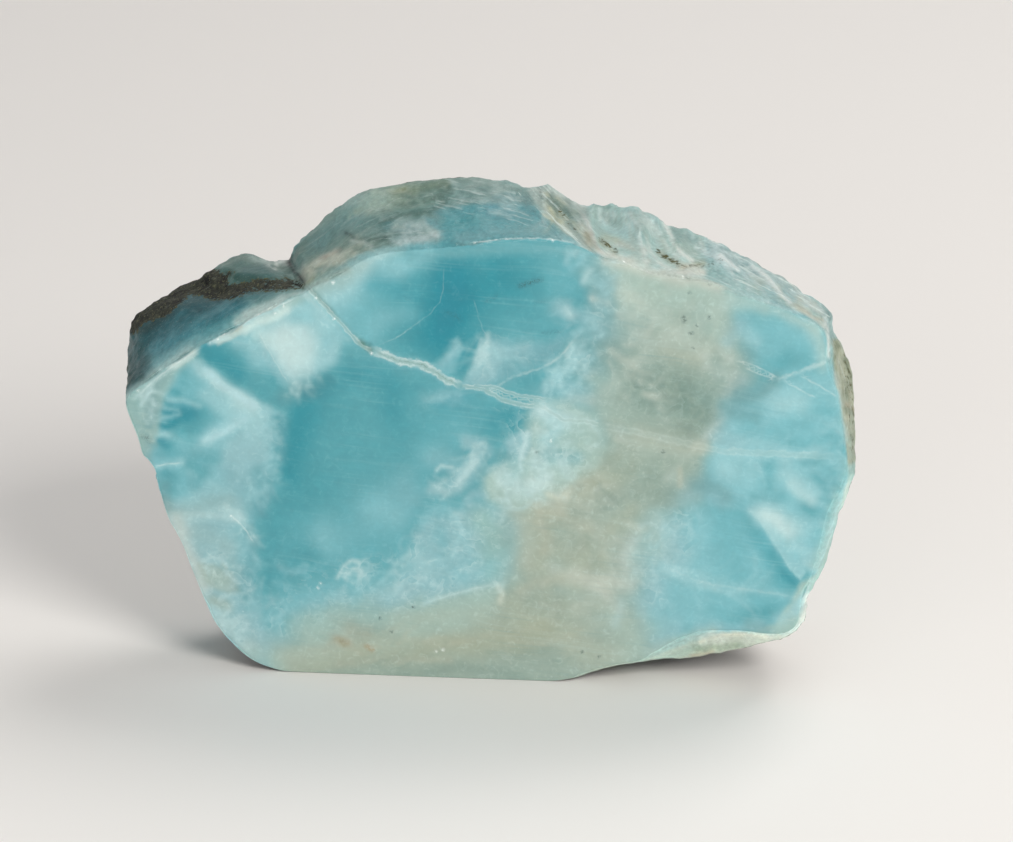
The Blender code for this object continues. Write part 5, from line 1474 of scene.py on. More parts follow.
def broken_relief(points, normals):
    """How far the broken surface stands out at each point, in metres."""
    mm = points / MM
    way = EYE - points
    toward = smooth(0.0, 0.25, (normals * way).sum(axis=1) / np.linalg.norm(way, axis=1))
    depths, smoothed = hollows(points)
    calm = 1 - 0.75 * smoothed * toward
    patchy = smooth(-0.35, 0.35, fractal(mm, PATCH_SIZE, 2, 5))
    to_back = smooth(RIM_TO, BACK_FROM, mm[:, 1] - LOW[1] / MM)
    flakes = (scallops(mm, FLAKE_SIZE, 3) - 1) * FLAKE_DEPTH * (0.35 + 0.65 * patchy)
    chips = (scallops(mm, CHIP_SIZE, 4) - 1) * CHIP_DEPTH * (0.3 + 0.7 * patchy)
    grain = GRAIN_DEPTH * fractal(mm, GRAIN_SIZE, 3, 9)
    slanted = mm * (1.0, 0.22, 1.0) + (0.27 * mm[:, 1:2] * (1, 0, 0))
    steps = STEP_DEPTH * fractal(slanted, STEP_SIZE, 2, 14)
    lumps = LUMP_DEPTH * fractal(mm, LUMP_SIZE, 4, 31)
    back = to_back * (lumps + (scallops(mm, BACK_FLAKE_SIZE, 8) - 1) * BACK_FLAKE_DEPTH)
    fine = np.minimum(flakes, FLAKE_TOP) + np.minimum(chips, CHIP_TOP)
    fine += grain + steps * (1 - to_back) + back
    return fine * calm * MM - depths * toward


def fit_outline(points, edge):
    """Moves the rough part's points across the view, so that the stone's outline is the picture's."""
    offset = in_picture(points) - HEART
    reach = np.hypot(offset[:, 0], offset[:, 1])
    # angles count up from the left end, over the top, to the foot at the right
    angle = (np.arctan2(offset[:, 1], offset[:, 0]) - math.pi / 2) % (2 * math.pi)
    wants_at, wants = around(np.array(OUTLINE, float) - HEART)
    edge_at, edge_reach = around(in_picture(edge) - HEART)
    now = outer_reach(angle, reach)
    goal = np.interp(angle, wants_at, wants)
    start = np.interp(angle, edge_at, edge_reach)
    span = np.maximum(now - start, 5)
    share = smooth(0, 1, (reach - start) / span) * smooth(0.0, 1.5, (points[:, 1] - LOW[1]) / MM)
    share *= smooth(wants_at[0] - 0.02, wants_at[0] + 0.05, angle)
    share *= smooth(wants_at[-1] + 0.02, wants_at[-1] - 0.05, angle)
    push = np.clip(goal - now, -LONGEST_PUSH, LONGEST_PUSH) * share / reach
    depth = -((points - EYE) @ BACKWARD) / LENS_PIXELS
    moved = offset * push[:, None] * depth[:, None]
    return points + moved[:, :1] * RIGHT - moved[:, 1:] * UP


def outer_reach(angle, reach):
    """How far out the outermost points are at each point's angle."""
    bins = np.radians(np.arange(0, 360, 0.5))
    slot = np.clip((angle / bins[1]).astype(int), 0, len(bins) - 1)
    has = np.zeros(len(bins))
    np.maximum.at(has, slot, reach)
    for _ in range(3):
        has = np.maximum(has, 0.5 * (np.roll(has, 1) + np.roll(has, -1)))
    ease = np.hanning(9) / np.hanning(9).sum()
    has = np.convolve(np.concatenate([has[-4:], has, has[:4]]), ease, "valid")
    return np.interp(angle, bins + bins[1] / 2, has)


def around(offset):
    """Angles and distances of points about the heart, in order of angle."""
    angle = (np.arctan2(offset[:, 1], offset[:, 0]) - math.pi / 2) % (2 * math.pi)
    order = np.argsort(angle)
    return angle[order], np.hypot(offset[:, 0], offset[:, 1])[order]


def sawn_points(loop):
    """Points inside the sawn face's edge: an even grid, and closer ones along veins and round specks."""
    grid = even_points(loop)
    extra = close_points()
    cell = SAWN_SPACING * 0.8
    taken = {tuple(spot) for spot in np.floor(extra / cell).astype(int)}
    keys = np.floor(grid / cell).astype(int)
    free = np.array([tuple(key) not in taken for key in keys])
    spots = np.vstack([grid[free], extra])
    spots = spots[inside(spots, loop)]
    near = np.full(len(spots), 1e9)
    for chunk in range(0, len(loop), 64):
        gaps = spots[:, None, :] - loop[None, chunk : chunk + 64, :]
        near = np.minimum(near, np.hypot(gaps[..., 0], gaps[..., 1]).min(axis=1))
    return spots[near > 0.6 * SAWN_SPACING]


def even_points(loop):
    """Grid points over the sawn face's box, wider apart in its calm parts."""
    low, high = loop.min(axis=0), loop.max(axis=0)
    grids = []
    for spacing in (SAWN_SPACING, CALM_SPACING):
        xs = np.arange(low[0], high[0], spacing)
        zs = np.arange(low[1], high[1], spacing * math.sqrt(3) / 2)
        grid = np.array([(x + (k % 2) * spacing / 2, z) for k, z in enumerate(zs) for x in xs])
        calm = np.zeros(len(grid), bool)
        for outline in CALM_PARTS:
            calm |= inside(grid, on_face(outline))
        grids.append(grid[calm == (spacing == CALM_SPACING)])
    return np.vstack(grids)


def close_points():
    """Points along both sides of each vein, and on and round each of the dark specks, bright flecks and
    painted glints.
    """
    extra = []
    for width, _, path in MAIN_VEINS + FINE_VEINS:
        spots = on_face(path)
        legs = np.concatenate([[0], np.cumsum(np.linalg.norm(np.diff(spots, axis=0), axis=1))])
        at = np.arange(0, legs[-1], VEIN_SPACING)
        line = np.column_stack([np.interp(at, legs, spots[:, k]) for k in (0, 1)])
        way = np.gradient(line, axis=0)
        way /= np.linalg.norm(way, axis=1)[:, None]
        side = np.column_stack([-way[:, 1], way[:, 0]]) * width * 0.1 * MM
        offsets = (-1, 0, 1) if width > 1.8 else (-0.6, 0.6)
        extra += [line + side * k for k in offsets]
    for x, y, radius in SPECKS + FLECKS_AND_GLINTS:
        turn = np.radians(np.arange(0, 360, 60))
        ring = np.column_stack([x + radius * np.cos(turn), y + radius * np.sin(turn)])
        extra.append(on_face(np.vstack([[(x, y)], ring])))
    return np.vstack(extra)


def streak_fields(places):
    """How far along and across its streaks each point lies, in millimetres, and how strong they are."""
    strength = np.zeros(len(places))
    guide = np.zeros((len(places), 3))
    for k, (power, reach, path) in enumerate(STREAKS):
        path = np.array(path, float)
        distance, side, along = path_distance(places, path)
        length = np.linalg.norm(np.diff(path, axis=0), axis=1).sum()
        ends = smooth(0, 0.08, along) * smooth(1, 0.92, along)
        share = power * smooth(reach, reach * 0.5, distance) * ends
        mine = share > strength
        strength[mine] = share[mine]
        field = np.column_stack([along * length, side * distance, np.full(len(places), 73.0 * k)])
        guide[mine] = field[mine] * DISTANCE / LENS_PIXELS / MM
    return guide, strength


def crack_depth(points):
    """How deep the open crack in the main vein is at each point, in metres."""
    places = in_picture(points)
    distance, _, along = path_distance(places, np.array(MAIN_VEINS[0][2], float))
    open_part = smooth(0.62, 0.5, along)
    groove = CRACK_DEPTH * open_part * np.exp(-((distance / 1.3) ** 2))
    pit = PIT_DEPTH * np.exp(-(((places - CRACK_PIT) ** 2).sum(axis=1) / 9.0))
    return groove + pit


def edge_wear(places, along):
    """How much the sawn edge is worn at each point along it: 1 is usual, and chips are more."""
    wear = 0.75 + 0.9 * smooth(0.0, 0.8, fractal(along[:, None] * (1, 0, 0), 2.2, 3, 41))
    for x, y, reach, depth in EDGE_CHIPS:
        distance = np.hypot(places[:, 0] - x, places[:, 1] - y) / reach
        wear += 4.0 * depth * np.exp(-(distance**2))
    return wear


def build_stone(cad):
    """The stone's mesh, its points, and the index of the first point on its sawn face."""
    points, normals, faces, loop = rough_part(cad)
    edge = points[loop]
    along, inward = edge_ways(edge)
    wear = edge_wear(in_picture(edge), along)
    points = with_relief(points, normals)
    points = fit_outline(points, edge)
    back_off = BEVEL_BACK * wear
    points[loop, 1] = LOW[1] + back_off
    points = np.clip(points, LOW, HIGH)
    shift = inward * (BEVEL_IN * wear)[:, None]
    rings = []
    for depth, share in ((0.42, 0.32), (0.0, 1.0)):
        ring = edge[:, [0, 2]] + shift * share
        rings.append(np.column_stack([ring[:, 0], LOW[1] + back_off * depth, ring[:, 1]]))
    face_points, triangles, border = sawn_skin(rings[-1][:, [0, 2]])
    count = len(loop)
    first = len(points) + count
    outer = loop
    middle = [len(points) + k for k in range(count)]
    last = [first + k for k in border]
    faces = list(faces)
    for near, far in ((outer, middle), (middle, last)):
        for k in range(count):
            onward = (k + 1) % count
            faces.append((near[k], near[onward], far[onward], far[k]))
    faces += [tuple(first + i for i in reversed(triangle)) for triangle in triangles]
    points = np.vstack([points, rings[0], face_points])
    return finished_mesh(points, faces), points, first


def edge_ways(edge):
    """How far along the sawn edge each of its points is, in millimetres, and which way is inward."""
    step = np.linalg.norm(np.roll(edge, -1, axis=0) - edge, axis=1)
    along = np.concatenate([[0], np.cumsum(step)[:-1]]) / MM
    flat = edge[:, [0, 2]]
    way = np.roll(flat, -1, axis=0) - np.roll(flat, 1, axis=0)
    way /= np.linalg.norm(way, axis=1)[:, None]
    inward = np.column_stack([way[:, 1], -way[:, 0]])
    if not inside(flat + inward * 0.2 * MM, flat).mean() > 0.5:
        inward = -inward
    return along, inward


def with_relief(points, normals):
    """The rough part's points with their relief, which fades at the sawn edge and spares the foot."""
    fade = smooth(0.1, 2.0, (points[:, 1] - LOW[1]) / MM)
    relief = broken_relief(points, normals) * fade
    flat_foot = points[:, 2] < 0.02 * MM
    relief[flat_foot] = np.minimum(relief[flat_foot], 0)
    return points + normals * relief[:, None]


def sawn_skin(front):
    """The sawn face inside its edge: its points, its triangles and which of the points are the edge's."""
    count = len(front)
    spots = np.vstack([front, sawn_points(front)])
    seam = [(k, (k + 1) % count) for k in range(count)]
    made = geometry.delaunay_2d_cdt([Vector(p) for p in spots], seam, [], 1, 1e-9)
    flat = np.array([p[:] for p in made[0]])
    points = np.column_stack([flat[:, 0], np.full(len(flat), LOW[1]), flat[:, 1]])
    points[:, 1] += crack_depth(points)
    origin = {source[0]: k for k, source in enumerate(made[3]) if source and source[0] < count}
    return points, made[2], [origin[k] for k in range(count)]


def finished_mesh(points, faces):
    """A smooth mesh with its normals outward, sharp where it bends a lot."""
    mesh = bpy.data.meshes.new("larimar_mesh")
    mesh.from_pydata(points.tolist(), [], faces)
    fix = bmesh.new()
    fix.from_mesh(mesh)
    bmesh.ops.recalc_face_normals(fix, faces=fix.faces)
    fix.to_mesh(mesh)
    fix.free()
    mesh.shade_smooth()
    mesh.set_sharp_from_angle(angle=math.radians(SHARP_ANGLE))
    return mesh


def keep(mesh, name, values):
    """Stores a number for each point of the mesh, for the material to read."""
    layer = mesh.attributes.new(name, "FLOAT", "POINT")
    layer.data.foreach_set("value", values.astype(np.float32))


def keep_vectors(mesh, name, kind, values):
    """Stores a colour or a vector for each point of the mesh, for the material to read."""
    layer = mesh.attributes.new(name, {"color": "FLOAT_COLOR", "vector": "FLOAT_VECTOR"}[kind], "POINT")
    layer.data.foreach_set(kind, values.astype(np.float32).ravel())


# How far behind the sawn face the painted colours reach and the hidden ones begin, in millimetres
PAINTED_TO, HIDDEN_FROM = 16.0, 19.0
# How many half widths away a vein still counts
VEIN_REACH = 4.0


def paint_stone(mesh, points, first):
    """Works out the colour and the other marks of every point."""
    mm = points / MM
    canvas = Canvas(points)
    sawn = np.zeros(len(points))
    sawn[first:] = 1.0
    depth = mm[:, 1] - LOW[1] / MM
    normals = np.empty(len(points) * 3)
    mesh.vertices.foreach_get("normal", normals)
    normals = normals.reshape(-1, 3)
    facing = facing_eye(points, normals)
    ragged = depth + 1.2 * fractal(mm, 4.0, 2, 78)
    seen = np.maximum(sawn, facing * smooth(HIDDEN_FROM, PAINTED_TO, ragged))
    blend = smooth(-0.02, 0.1 + 1.6 * canvas.covered(SOFT_EDGE), depth) * (1 - sawn)
    hidden, skin = hidden_colours(mm)
    crust = canvas.covered(CRUST_PATCH) * smooth(0.3, 1.2, depth) * facing
    crust = np.maximum(crust, skin * (1 - seen))

    colours = face_and_rim(canvas, blend) * seen[:, None] + hidden * (1 - seen)[:, None]
    # The crack at the notch is painted dark, as the shade inside it
    notch = canvas.covered(NOTCH_CRACK_SHADE) * smooth(0.2, 0.6, depth) * facing
    colours += (linear(CRACK_SHADE) - colours) * notch[:, None]
    on_rim = smooth(-0.02, 0.1, depth) * (1 - sawn)
    bright = 1 + (light_on(normals) - 1) * (on_rim * seen)
    colours = np.maximum(colours - GLOSS, 0.003) / (LIGHT * bright[:, None])
    keep_vectors(mesh, "tone", "color", np.column_stack([colours, np.ones(len(points))]))
    keep_veins(mesh, canvas.shown, sawn, seen, depth)
    keep(mesh, "speck", np.maximum(dots(canvas.shown, SPECKS), smudges(canvas.shown)) * sawn)
    # Painted glints: bright flecks, most of them where the edges catch the light
    keep(mesh, "fleck_and_glint", dots(canvas.shown, FLECKS_AND_GLINTS, 0.5) * seen)
    keep(mesh, "wisp", canvas.covered(WISPY) * seen)
    keep(mesh, "sawn", sawn)
    guide, streaks = streak_fields(canvas.shown)
    keep(mesh, "streak_strength", streaks * blend * seen * (1 - crust))
    keep_vectors(mesh, "streak", "vector", guide)
    keep(mesh, "crust", crust)


def facing_eye(points, normals):
    """1 where the stone faces the camera, 0 where it faces away, with a ragged border."""
    to_eye = EYE - points
    to_eye /= np.linalg.norm(to_eye, axis=1)[:, None]
    ragged = 0.1 * fractal(points / MM, 3.0, 2, 77)
    return smooth(-0.12, 0.12, (normals * to_eye).sum(axis=1) + ragged)


def face_and_rim(canvas, blend):
    """The colours of the sawn face and, blended over them, those of the rim."""
    colours = np.tile(linear(BLUE), (len(blend), 1))
    for marks in FACE_MARKS:
        canvas.paint(colours, marks)
    rim_colours = colours.copy()
    for marks in RIM_MARKS:
        canvas.paint(rim_colours, marks)
    return colours + (rim_colours - colours) * blend[:, None]


def smudges(places):
    """How dark the smudges are at each point."""
    dark = np.zeros(len(places))
    for power, reach, line in SMUDGES:
        near = path_distance(places, np.array(line, float))[0] / reach
        dark = np.maximum(dark, power * np.exp(-(near**2)))
    return dark


def keep_veins(mesh, places, sawn, seen, depth):
    """Stores the main veins, and the fine ones with the painted highlight along the sawn edge."""
    main, main_strength = vein_fields(places, MAIN_VEINS, VEIN_REACH)
    fine, fine_strength = vein_fields(places, FINE_VEINS, VEIN_REACH)
    edge, edge_glint_strength = vein_fields(places, EDGE_LIGHT, VEIN_REACH)
    fine_strength *= sawn
    edge_glint_strength *= smooth(1.0, 0.4, depth)
    lit = edge_glint_strength > fine_strength
    keep(mesh, "main_vein", main)
    keep(mesh, "main_strength", main_strength * seen)
    keep(mesh, "fine_vein_and_edge_glint", np.where(lit, edge, fine))
    keep(mesh, "fine_strength", np.where(lit, edge_glint_strength, fine_strength))


def light_on(normals):
    """How bright the room's light is on the stone for each normal, where the sawn face has 1."""
    bright = np.zeros(len(normals))
    sawn = 0.0
    for _, place, watts, _, _ in LAMPS:
        way = np.array(place) - LIT_SPOT
        far = np.linalg.norm(way)
        bright += watts / far**2 * np.clip(normals @ way / far, 0, None)
        sawn += watts / far**2 * max(0.0, -way[1] / far)
    sky, ground = math.pi**2 * SKY_STRENGTH, math.pi**2 * GROUND_GLOW
    bright += sky * (1 + normals[:, 2]) / 2 + ground * (1 - normals[:, 2]) / 2
    return np.clip(bright / (sawn + sky / 2 + ground / 2), 0.6, 1.6)


# The hidden sides: how wide their cells, greens, veins and crust are, and how far they stray
HIDDEN_CELLS = 11.0
HIDDEN_GREENS = 20.0
HIDDEN_VEINS = 16.0
HIDDEN_CRUST = 13.0
HIDDEN_BEND, HIDDEN_BEND_SIZE = 5.0, 14.0


def hidden_colours(mm):
    """The colours of the sides that the picture doesn't show, and how much of them is dark skin."""
    wander = np.column_stack([fractal(mm, HIDDEN_BEND_SIZE, 3, seed) for seed in (51, 52, 53)])
    bent = mm + HIDDEN_BEND * wander
    pale = smooth(0.35, 1.0, scallops(bent, HIDDEN_CELLS, 55))[:, None]
    green = smooth(0.0, 0.5, fractal(bent, HIDDEN_GREENS, 3, 61))[:, None]
    colours = linear(TEAL) * (1 - pale) + linear(PALE) * pale
    colours = colours * (1 - green) + linear(SAGE) * green
    veins = 0.6 * smooth(0.06, 0.0, np.abs(fractal(bent, HIDDEN_VEINS, 3, 63)))[:, None]
    colours = colours * (1 - veins) + linear(MILK) * veins
    crusted = fractal(mm, HIDDEN_CRUST, 5, 71)
    skin = smooth(0.04, 0.46, crusted)
    stain = 0.7 * smooth(-0.2, 0.15, crusted)[:, None]
    colours = colours * (1 - stain) + linear(SKIN) * stain
    return colours, skin


# The material
class Shader:
    """Builds a material's nodes, with each call adding one and returning its output."""

    def __init__(self, name):
        self.material = bpy.data.materials.new(name)
        self.material.use_nodes = True
        self.nodes = self.material.node_tree.nodes
        self.links = self.material.node_tree.links
        self.surface = self.nodes["Principled BSDF"]

    def set(self, socket, value):
        """Links an output to a socket, or sets its number or colour."""
        if isinstance(value, bpy.types.NodeSocket):
            self.links.new(value, socket)
        elif isinstance(value, tuple) and len(value) == 3 and socket.type == "RGBA":
            socket.default_value = (*value, 1)
        else:
            socket.default_value = value

    def add(self, kind, output, settings=None, **inputs):
        node = self.nodes.new(kind)
        for name, value in (settings or {}).items():
            setattr(node, name, value)
        for name, value in inputs.items():
            self.set(node.inputs[name.replace("_", " ")], value)
        return node.outputs[output]

    def mark(self, name, output="Fac"):
        """A number or colour stored on the mesh's points."""
        return self.add("ShaderNodeAttribute", output, {"attribute_name": name})

    def math(self, operation, *values, clamp=False):
        node = self.nodes.new("ShaderNodeMath")
        node.operation, node.use_clamp = operation, clamp
        for socket, value in zip(node.inputs, values):
            self.set(socket, value)
        return node.outputs[0]

    def times(self, *values):
        """All the values multiplied together."""
        total = values[0]
        for value in values[1:]:
            total = self.math("MULTIPLY", total, value)
        return total

    def plus(self, *values):
        """All the values added up."""
        total = values[0]
        for value in values[1:]:
            total = self.math("ADD", total, value)
        return total

    def bent(self, vector, scale, reach):
        """Coordinates pushed about by noise."""
        node = self.nodes.new("ShaderNodeVectorMath")
        node.operation = "MULTIPLY_ADD"
        self.set(node.inputs[0], self.noise(vector, scale, 3.0, 0.5, output="Color"))
        self.set(node.inputs[1], (reach, reach, reach))
        self.set(node.inputs[2], vector)
        return node.outputs[0]

    def mapped(self, value, low, high, start=0.0, end=1.0, kind="SMOOTHSTEP"):
        """The value stretched from low..high to start..end."""
        node = self.nodes.new("ShaderNodeMapRange")
        node.interpolation_type = kind
        for socket, number in zip(node.inputs, (value, low, high, start, end)):
            self.set(socket, number)
        return node.outputs[0]

    def mix(self, share, a, b, blend="MIX"):
        """One colour mixed over another."""
        node = self.nodes.new("ShaderNodeMix")
        node.data_type, node.blend_type = "RGBA", blend
        self.set(node.inputs["Factor"], share)
        sockets = [s for s in node.inputs if s.type == "RGBA"]
        self.set(sockets[0], a)
        self.set(sockets[1], b)
        return next(s for s in node.outputs if s.type == "RGBA")

    def stretched(self, vector, scale, turn=(0, 0, 0)):
        """Coordinates turned, in degrees, then scaled."""
        turned = self.add(
            "ShaderNodeMapping", 0, {"vector_type": "POINT"}, Vector=vector,
            Rotation=tuple(math.radians(a) for a in turn),
        )
        return self.add("ShaderNodeMapping", 0, {"vector_type": "POINT"}, Vector=turned, Scale=scale)

    def noise(self, vector, scale, detail=4.0, roughness=0.55, distortion=0.0, output="Fac"):
        return self.add(
            "ShaderNodeTexNoise", output, Vector=vector, Scale=scale, Detail=detail,
            Roughness=roughness, Distortion=distortion,
        )


# How far fine detail stands out in the material, in millimetres
SAW_HEIGHT = 0.006
CRUST_HEIGHT = 0.45
DENT_HEIGHT = 0.035
STREAK_HEIGHT = 0.16


def stone_material():
    """Waxy blue stone, with its saw marks, clouds, veins, specks and patches of dark crust."""
    s = Shader("larimar")
    mm = s.stretched(s.add("ShaderNodeTexCoord", "Object"), (1000.0, 1000.0, 1000.0))
    sawn, crust, tone = s.mark("sawn"), s.mark("crust"), s.mark("tone", "Color")
    colour = clouded(s, tone, mm)
    saw = saw_marks(s, mm)
    colour = s.mix(s.times(s.mapped(saw, 0.5, 0.72), sawn, 0.11), colour, tint(MILK))
    colour = s.mix(s.times(s.mapped(saw, 0.5, 0.28), sawn, 0.11), colour, tint(ABYSS))
    colour = veined(s, colour, mm)
    broken = s.mapped(s.noise(mm, 7.0, 3.0, 0.6), 0.42, 0.6, 0.25, 1.0)
    colour = s.mix(s.times(s.mark("speck"), broken, 0.75), colour, tint(SPECK))
    # Painted glints: the bright flecks, most of them where the edges catch the light
    spark = s.mapped(s.noise(mm, 9.0, 2.0), 0.42, 0.56, 0.35, 1.0)
    colour = s.mix(s.times(s.mark("fleck_and_glint"), spark, 0.8), colour, tint(FLECK_AND_GLINT))

    rim = s.math("SUBTRACT", 1.0, sawn)
    colour, lines = streaked(s, colour)
    colour = broken_looks(s, colour, mm, rim)
    bits = s.noise(mm, 2.0, 8.0, 0.72)
    ragged = s.times(s.mapped(bits, 0.3, 0.7, -0.5, 0.5, "LINEAR"), s.mapped(crust, 0.02, 0.2))
    crusted = s.mapped(s.plus(crust, ragged), 0.40, 0.56)
    colour = s.mix(crusted, colour, crust_looks(s, mm, bits, crust))

    wax = s.mapped(s.noise(mm, 1.3, 5.0), 0.3, 0.7, 0.30, 0.40, "LINEAR")
    rough = s.plus(wax, s.times(rim, 0.10), s.times(crusted, 0.4))
    grain = s.times(s.noise(mm, 4.0, 6.0, 0.65), s.mapped(sawn, 0.0, 1.0, 0.035, 0.003, "LINEAR"))
    bent = s.bent(mm, 1.0, 0.6)
    dents = s.add("ShaderNodeTexVoronoi", "Distance", {"feature": "F1"}, Vector=bent, Scale=1.5)
    height = s.plus(
        s.times(saw, sawn, SAW_HEIGHT), grain, s.times(bits, crusted, CRUST_HEIGHT), lines,
        s.times(dents, rim, DENT_HEIGHT),
    )
    surface = s.surface
    s.set(surface.inputs["Base Color"], colour)
    s.set(surface.inputs["Roughness"], rough)
    bump = s.add("ShaderNodeBump", "Normal", Strength=1.0, Distance=0.001, Height=height)
    s.set(surface.inputs["Normal"], bump)
    surface.inputs["IOR"].default_value = 1.55
    surface.inputs["Subsurface Weight"].default_value = 0.25
    surface.inputs["Subsurface Radius"].default_value = (0.8, 1.0, 1.1)
    surface.inputs["Subsurface Scale"].default_value = 0.6 * MM
    return s.material


def streaked(s, colour):
    """The colour with the streaks of the broken surface, and how far they stand out in millimetres."""
    strength = s.mark("streak_strength")
    lines = s.noise(s.stretched(s.mark("streak", "Vector"), (0.22, 2.8, 1.0)), 1.0, 3.0, 0.6)
    light = s.times(s.mapped(lines, 0.57, 0.63), strength, 0.7)
    colour = s.mix(light, colour, tint(STREAK))
    dark = s.times(s.mapped(lines, 0.45, 0.34), strength, 0.45)
    colour = s.mix(dark, colour, (0.5, 0.6, 0.6), "MULTIPLY")
    return colour, s.times(s.math("SUBTRACT", lines, 0.5), strength, STREAK_HEIGHT)


def broken_looks(s, colour, mm, rim):
    """The broken surface's colour, with its mottle, dull stains and tiny bright crystals."""
    mottle = s.mapped(s.noise(mm, 2.2, 5.0, 0.68), 0.3, 0.7, -0.16, 0.16, "LINEAR")
    colour = s.add("ShaderNodeHueSaturation", "Color", Value=s.plus(1.0, s.times(mottle, rim)), Color=colour)
    stain = s.times(s.mapped(s.noise(mm, 1.1, 5.0, 0.7), 0.56, 0.68), rim, 0.10)
    colour = s.mix(stain, colour, tint(DULL))
    crystals = s.times(s.mapped(s.noise(mm, 5.0, 3.0, 0.6), 0.62, 0.70), rim, 0.22)
    return s.mix(crystals, colour, tint(CRYSTAL))


def crust_looks(s, mm, bits, thick):
    """The dark olive crust, with its yellowish flakes and dull grey lines, paler where it is thin."""
    broad = s.plus(s.times(bits, 0.6), s.times(s.noise(mm, 0.7, 3.0), 0.4))
    tone = s.mix(s.mapped(broad, 0.42, 0.62), tint(CRUST_DARK), tint(CRUST_LIGHT))
    flakes = s.mapped(s.noise(mm, 3.4, 4.0, 0.65), 0.57, 0.64)
    tone = s.mix(s.times(flakes, 0.7), tone, tint(CRUST_FLAKE))
    tone = s.mix(s.mapped(thick, 0.5, 0.4, 0.0, 0.85), tone, tint(CRUST_THIN))
    lines = s.noise(s.stretched(s.bent(mm, 0.8, 0.8), (0.7, 3.0, 4.0), (0, 30, 0)), 1.0, 3.0)
    return s.mix(s.times(s.mapped(lines, 0.60, 0.68), 0.4), tone, tint(CRUST_LINE))


def clouded(s, tone, mm):
    """The painted colour, with fine clouds in its pale parts and faint cell walls in its green ones."""
    mottle = s.mapped(s.noise(mm, 0.5, 5.0, 0.55, 0.3), 0.3, 0.7, 0.95, 1.05, "LINEAR")
    curdle = s.noise(mm, 1.5, 6.0, 0.6, 1.0)
    value = s.times(mottle, s.mapped(curdle, 0.3, 0.7, 0.96, 1.04, "LINEAR"))
    colour = s.add("ShaderNodeHueSaturation", "Color", Saturation=1.0, Value=value, Color=tone)
    parts = s.nodes.new("ShaderNodeSeparateColor")
    s.set(parts.inputs[0], tone)
    red, green, blue = parts.outputs
    pale = s.mapped(red, 0.12, 0.35)
    greenish = s.mapped(s.math("SUBTRACT", green, blue), -0.03, 0.05)
    puffs = s.times(s.mapped(curdle, 0.52, 0.74), s.plus(0.04, s.times(pale, 0.14)))
    colour = s.mix(puffs, colour, tint(WHITE))
    wisp = s.mark("wisp")
    for scale, folds, share in ((0.28, 5.0, 0.30), (0.8, 4.0, 0.20)):
        sheet = s.noise(s.bent(mm, 1.3 * scale, 0.9 / scale), scale, 2.5, 0.5)
        fold = s.math("POWER", s.math("FRACT", s.times(sheet, folds)), 3.5)
        thin = s.mapped(s.noise(mm, 1.1 * scale, 2.0), 0.4, 0.65)
        colour = s.mix(s.times(fold, thin, wisp, share), colour, tint(WHITE))
    bent = s.bent(mm, 0.5, 3.0)
    walls = s.mapped(s.add(
        "ShaderNodeTexVoronoi", "Distance", {"feature": "DISTANCE_TO_EDGE"}, Vector=bent, Scale=0.3
    ), 0.0, 0.12, 1.0, 0.0)
    patch = s.mapped(s.noise(mm, 0.3, 3.0), 0.42, 0.62)
    return s.mix(s.times(walls, patch, greenish, 0.08), colour, tint(CELL_WALL))


def saw_marks(s, mm):
    """Long fine lines across the sawn face, which run slightly down to the right."""
    swung = s.bent(mm, 0.03, 5.0)
    fine = s.noise(s.stretched(swung, (0.09, 1.0, 4.2), (0, -7, 0)), 1.0, 3.0, 0.65)
    broad = s.noise(s.stretched(swung, (0.05, 1.0, 1.3), (0, -9, 0)), 1.0, 2.0, 0.5)
    patch = s.mapped(s.noise(mm, 0.12, 2.0), 0.35, 0.65, 0.3, 1.0)
    lines = s.plus(s.times(s.math("SUBTRACT", fine, 0.5), 0.7), s.times(s.math("SUBTRACT", broad, 0.5), 0.5))
    return s.plus(0.5, s.times(lines, patch))


def veined(s, colour, mm):
    """The colour with its veins: double white lines with a dull core, and fine single ones, which also paint
    the highlight along the sawn edge.
    """
    waver = s.mapped(s.noise(mm, 1.6, 4.0, 0.6), 0.3, 0.7, -0.5, 0.5, "LINEAR")
    strength = s.mark("main_strength")
    off = s.math("ABSOLUTE", s.plus(s.mark("main_vein"), waver))
    patch = s.mapped(s.noise(mm, 0.9, 4.0, 0.6), 0.32, 0.6, 0.3, 1.0)
    glow = s.times(s.mapped(off, 0.6, 3.0, 0.28, 0.0), strength)
    colour = s.mix(glow, colour, tint(PALE))
    core = s.times(s.mapped(off, 0.4, 1.0, 0.55, 0.0), strength)
    colour = s.mix(core, colour, tint(VEIN_CORE))
    beside = s.math("ABSOLUTE", s.math("SUBTRACT", off, 1.0))
    wall = s.times(s.mapped(beside, 0.0, 0.7, 0.7, 0.0), strength, patch)
    colour = s.mix(wall, colour, tint(VEIN_WALL))
    open_part = s.math("POWER", strength, 6.0)
    gap = s.times(s.mapped(off, 0.04, 0.2, 0.5, 0.0), open_part, s.mapped(waver, -0.2, 0.15))
    colour = s.mix(gap, colour, tint(VEIN_GAP))
    shake = s.mapped(s.noise(mm, 2.2, 3.0, 0.6), 0.3, 0.7, -0.6, 0.6, "LINEAR")
    fine = s.math("ABSOLUTE", s.plus(s.mark("fine_vein_and_edge_glint"), shake))
    line = s.times(s.mapped(fine, 0.0, 1.9, 0.8, 0.0), s.mark("fine_strength"), patch)
    return s.mix(line, colour, tint(FINE_VEIN_AND_GLINT))


# The room, with its floor's measures in metres
FLOOR_NEAR = -1.6
FLOOR_SIDE = 2.5
CURVE_START, CURVE_RADIUS = 0.5, 0.5
WALL_TOP = 2.2


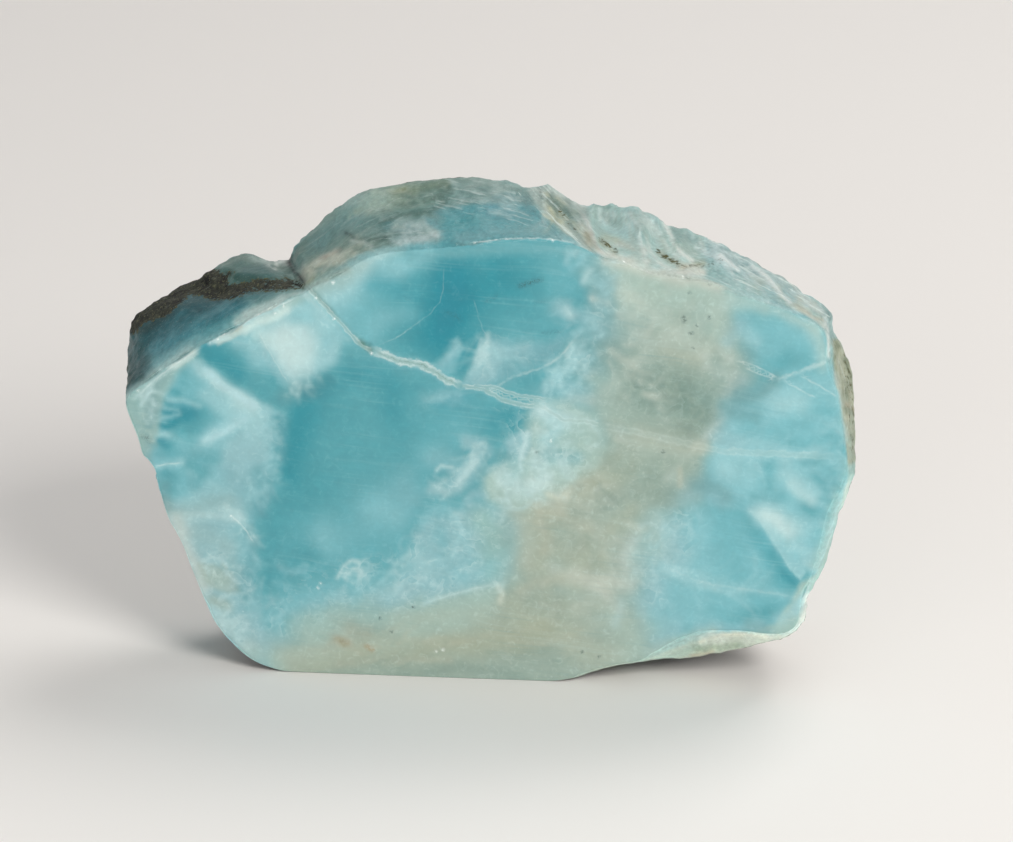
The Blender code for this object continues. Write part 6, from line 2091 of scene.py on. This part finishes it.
def aim(thing, place, target):
    """Puts a camera or a light at a place, looking at a target."""
    thing.location = place
    thing.rotation_euler = (Vector(target) - Vector(place)).to_track_quat("-Z", "Y").to_euler()
    bpy.context.scene.collection.objects.link(thing)


def add_light(name, place, watts, size, colour):
    """A soft square light that shines on the stone."""
    light = bpy.data.lights.new(name, "AREA")
    light.shape, light.size, light.energy, light.color = "SQUARE", size, watts, colour
    aim(bpy.data.objects.new(name, light), place, LIT_SPOT)


def add_room():
    """A pale floor that curves up into a backdrop, soft lights and an even sky."""
    add_floor()
    for lamp in LAMPS:
        add_light(*lamp)
    world = bpy.data.worlds.new("sky")
    world.use_nodes = True
    background = world.node_tree.nodes["Background"]
    background.inputs["Color"].default_value = (0.95, 0.97, 1.0, 1)
    background.inputs["Strength"].default_value = SKY_STRENGTH
    bpy.context.scene.world = world


def add_floor():
    """The pale floor, which curves up behind the stone."""
    profile = [(FLOOR_NEAR, 0.0), (CURVE_START, 0.0)]
    for turn in range(10, 91, 10):
        angle = math.radians(turn)
        rise = CURVE_RADIUS - CURVE_RADIUS * math.cos(angle)
        profile.append((CURVE_START + CURVE_RADIUS * math.sin(angle), rise))
    profile.append((CURVE_START + CURVE_RADIUS, WALL_TOP))
    points = [(x, y, z) for y, z in profile for x in (-FLOOR_SIDE, FLOOR_SIDE)]
    quads = [(2 * k, 2 * k + 1, 2 * k + 3, 2 * k + 2) for k in range(len(profile) - 1)]
    mesh = bpy.data.meshes.new("floor")
    mesh.from_pydata(points, [], quads)
    mesh.shade_smooth()
    floor = bpy.data.objects.new("floor", mesh)
    bpy.context.scene.collection.objects.link(floor)
    s = Shader("floor")
    s.surface.inputs["Base Color"].default_value = (*tint(FLOOR), 1)
    s.surface.inputs["Roughness"].default_value = 0.7
    mesh.materials.append(s.material)


def add_camera():
    """The camera of the picture."""
    camera = bpy.data.cameras.new("camera")
    camera.sensor_width = SENSOR_MM
    camera.lens = LENS_PIXELS / PICTURE[0] * SENSOR_MM
    camera.clip_start = 0.01
    thing = bpy.data.objects.new("camera", camera)
    aim(thing, Vector(EYE), Vector(AIM))
    bpy.context.scene.camera = thing


bpy.context.scene.view_settings.view_transform = "Standard"
add_camera()
add_room()
stone_mesh, stone_points, first_sawn = build_stone(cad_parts[NODE])
paint_stone(stone_mesh, stone_points, first_sawn)
stone_mesh.materials.append(stone_material())
stone = bpy.data.objects.new("larimar", stone_mesh)
bpy.context.scene.collection.objects.link(stone)
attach(stone, "root")
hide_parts(NODE)
triangles = sum(len(f.vertices) - 2 for f in stone_mesh.polygons)
print("stone", len(stone_mesh.vertices), "points", triangles, "triangles")
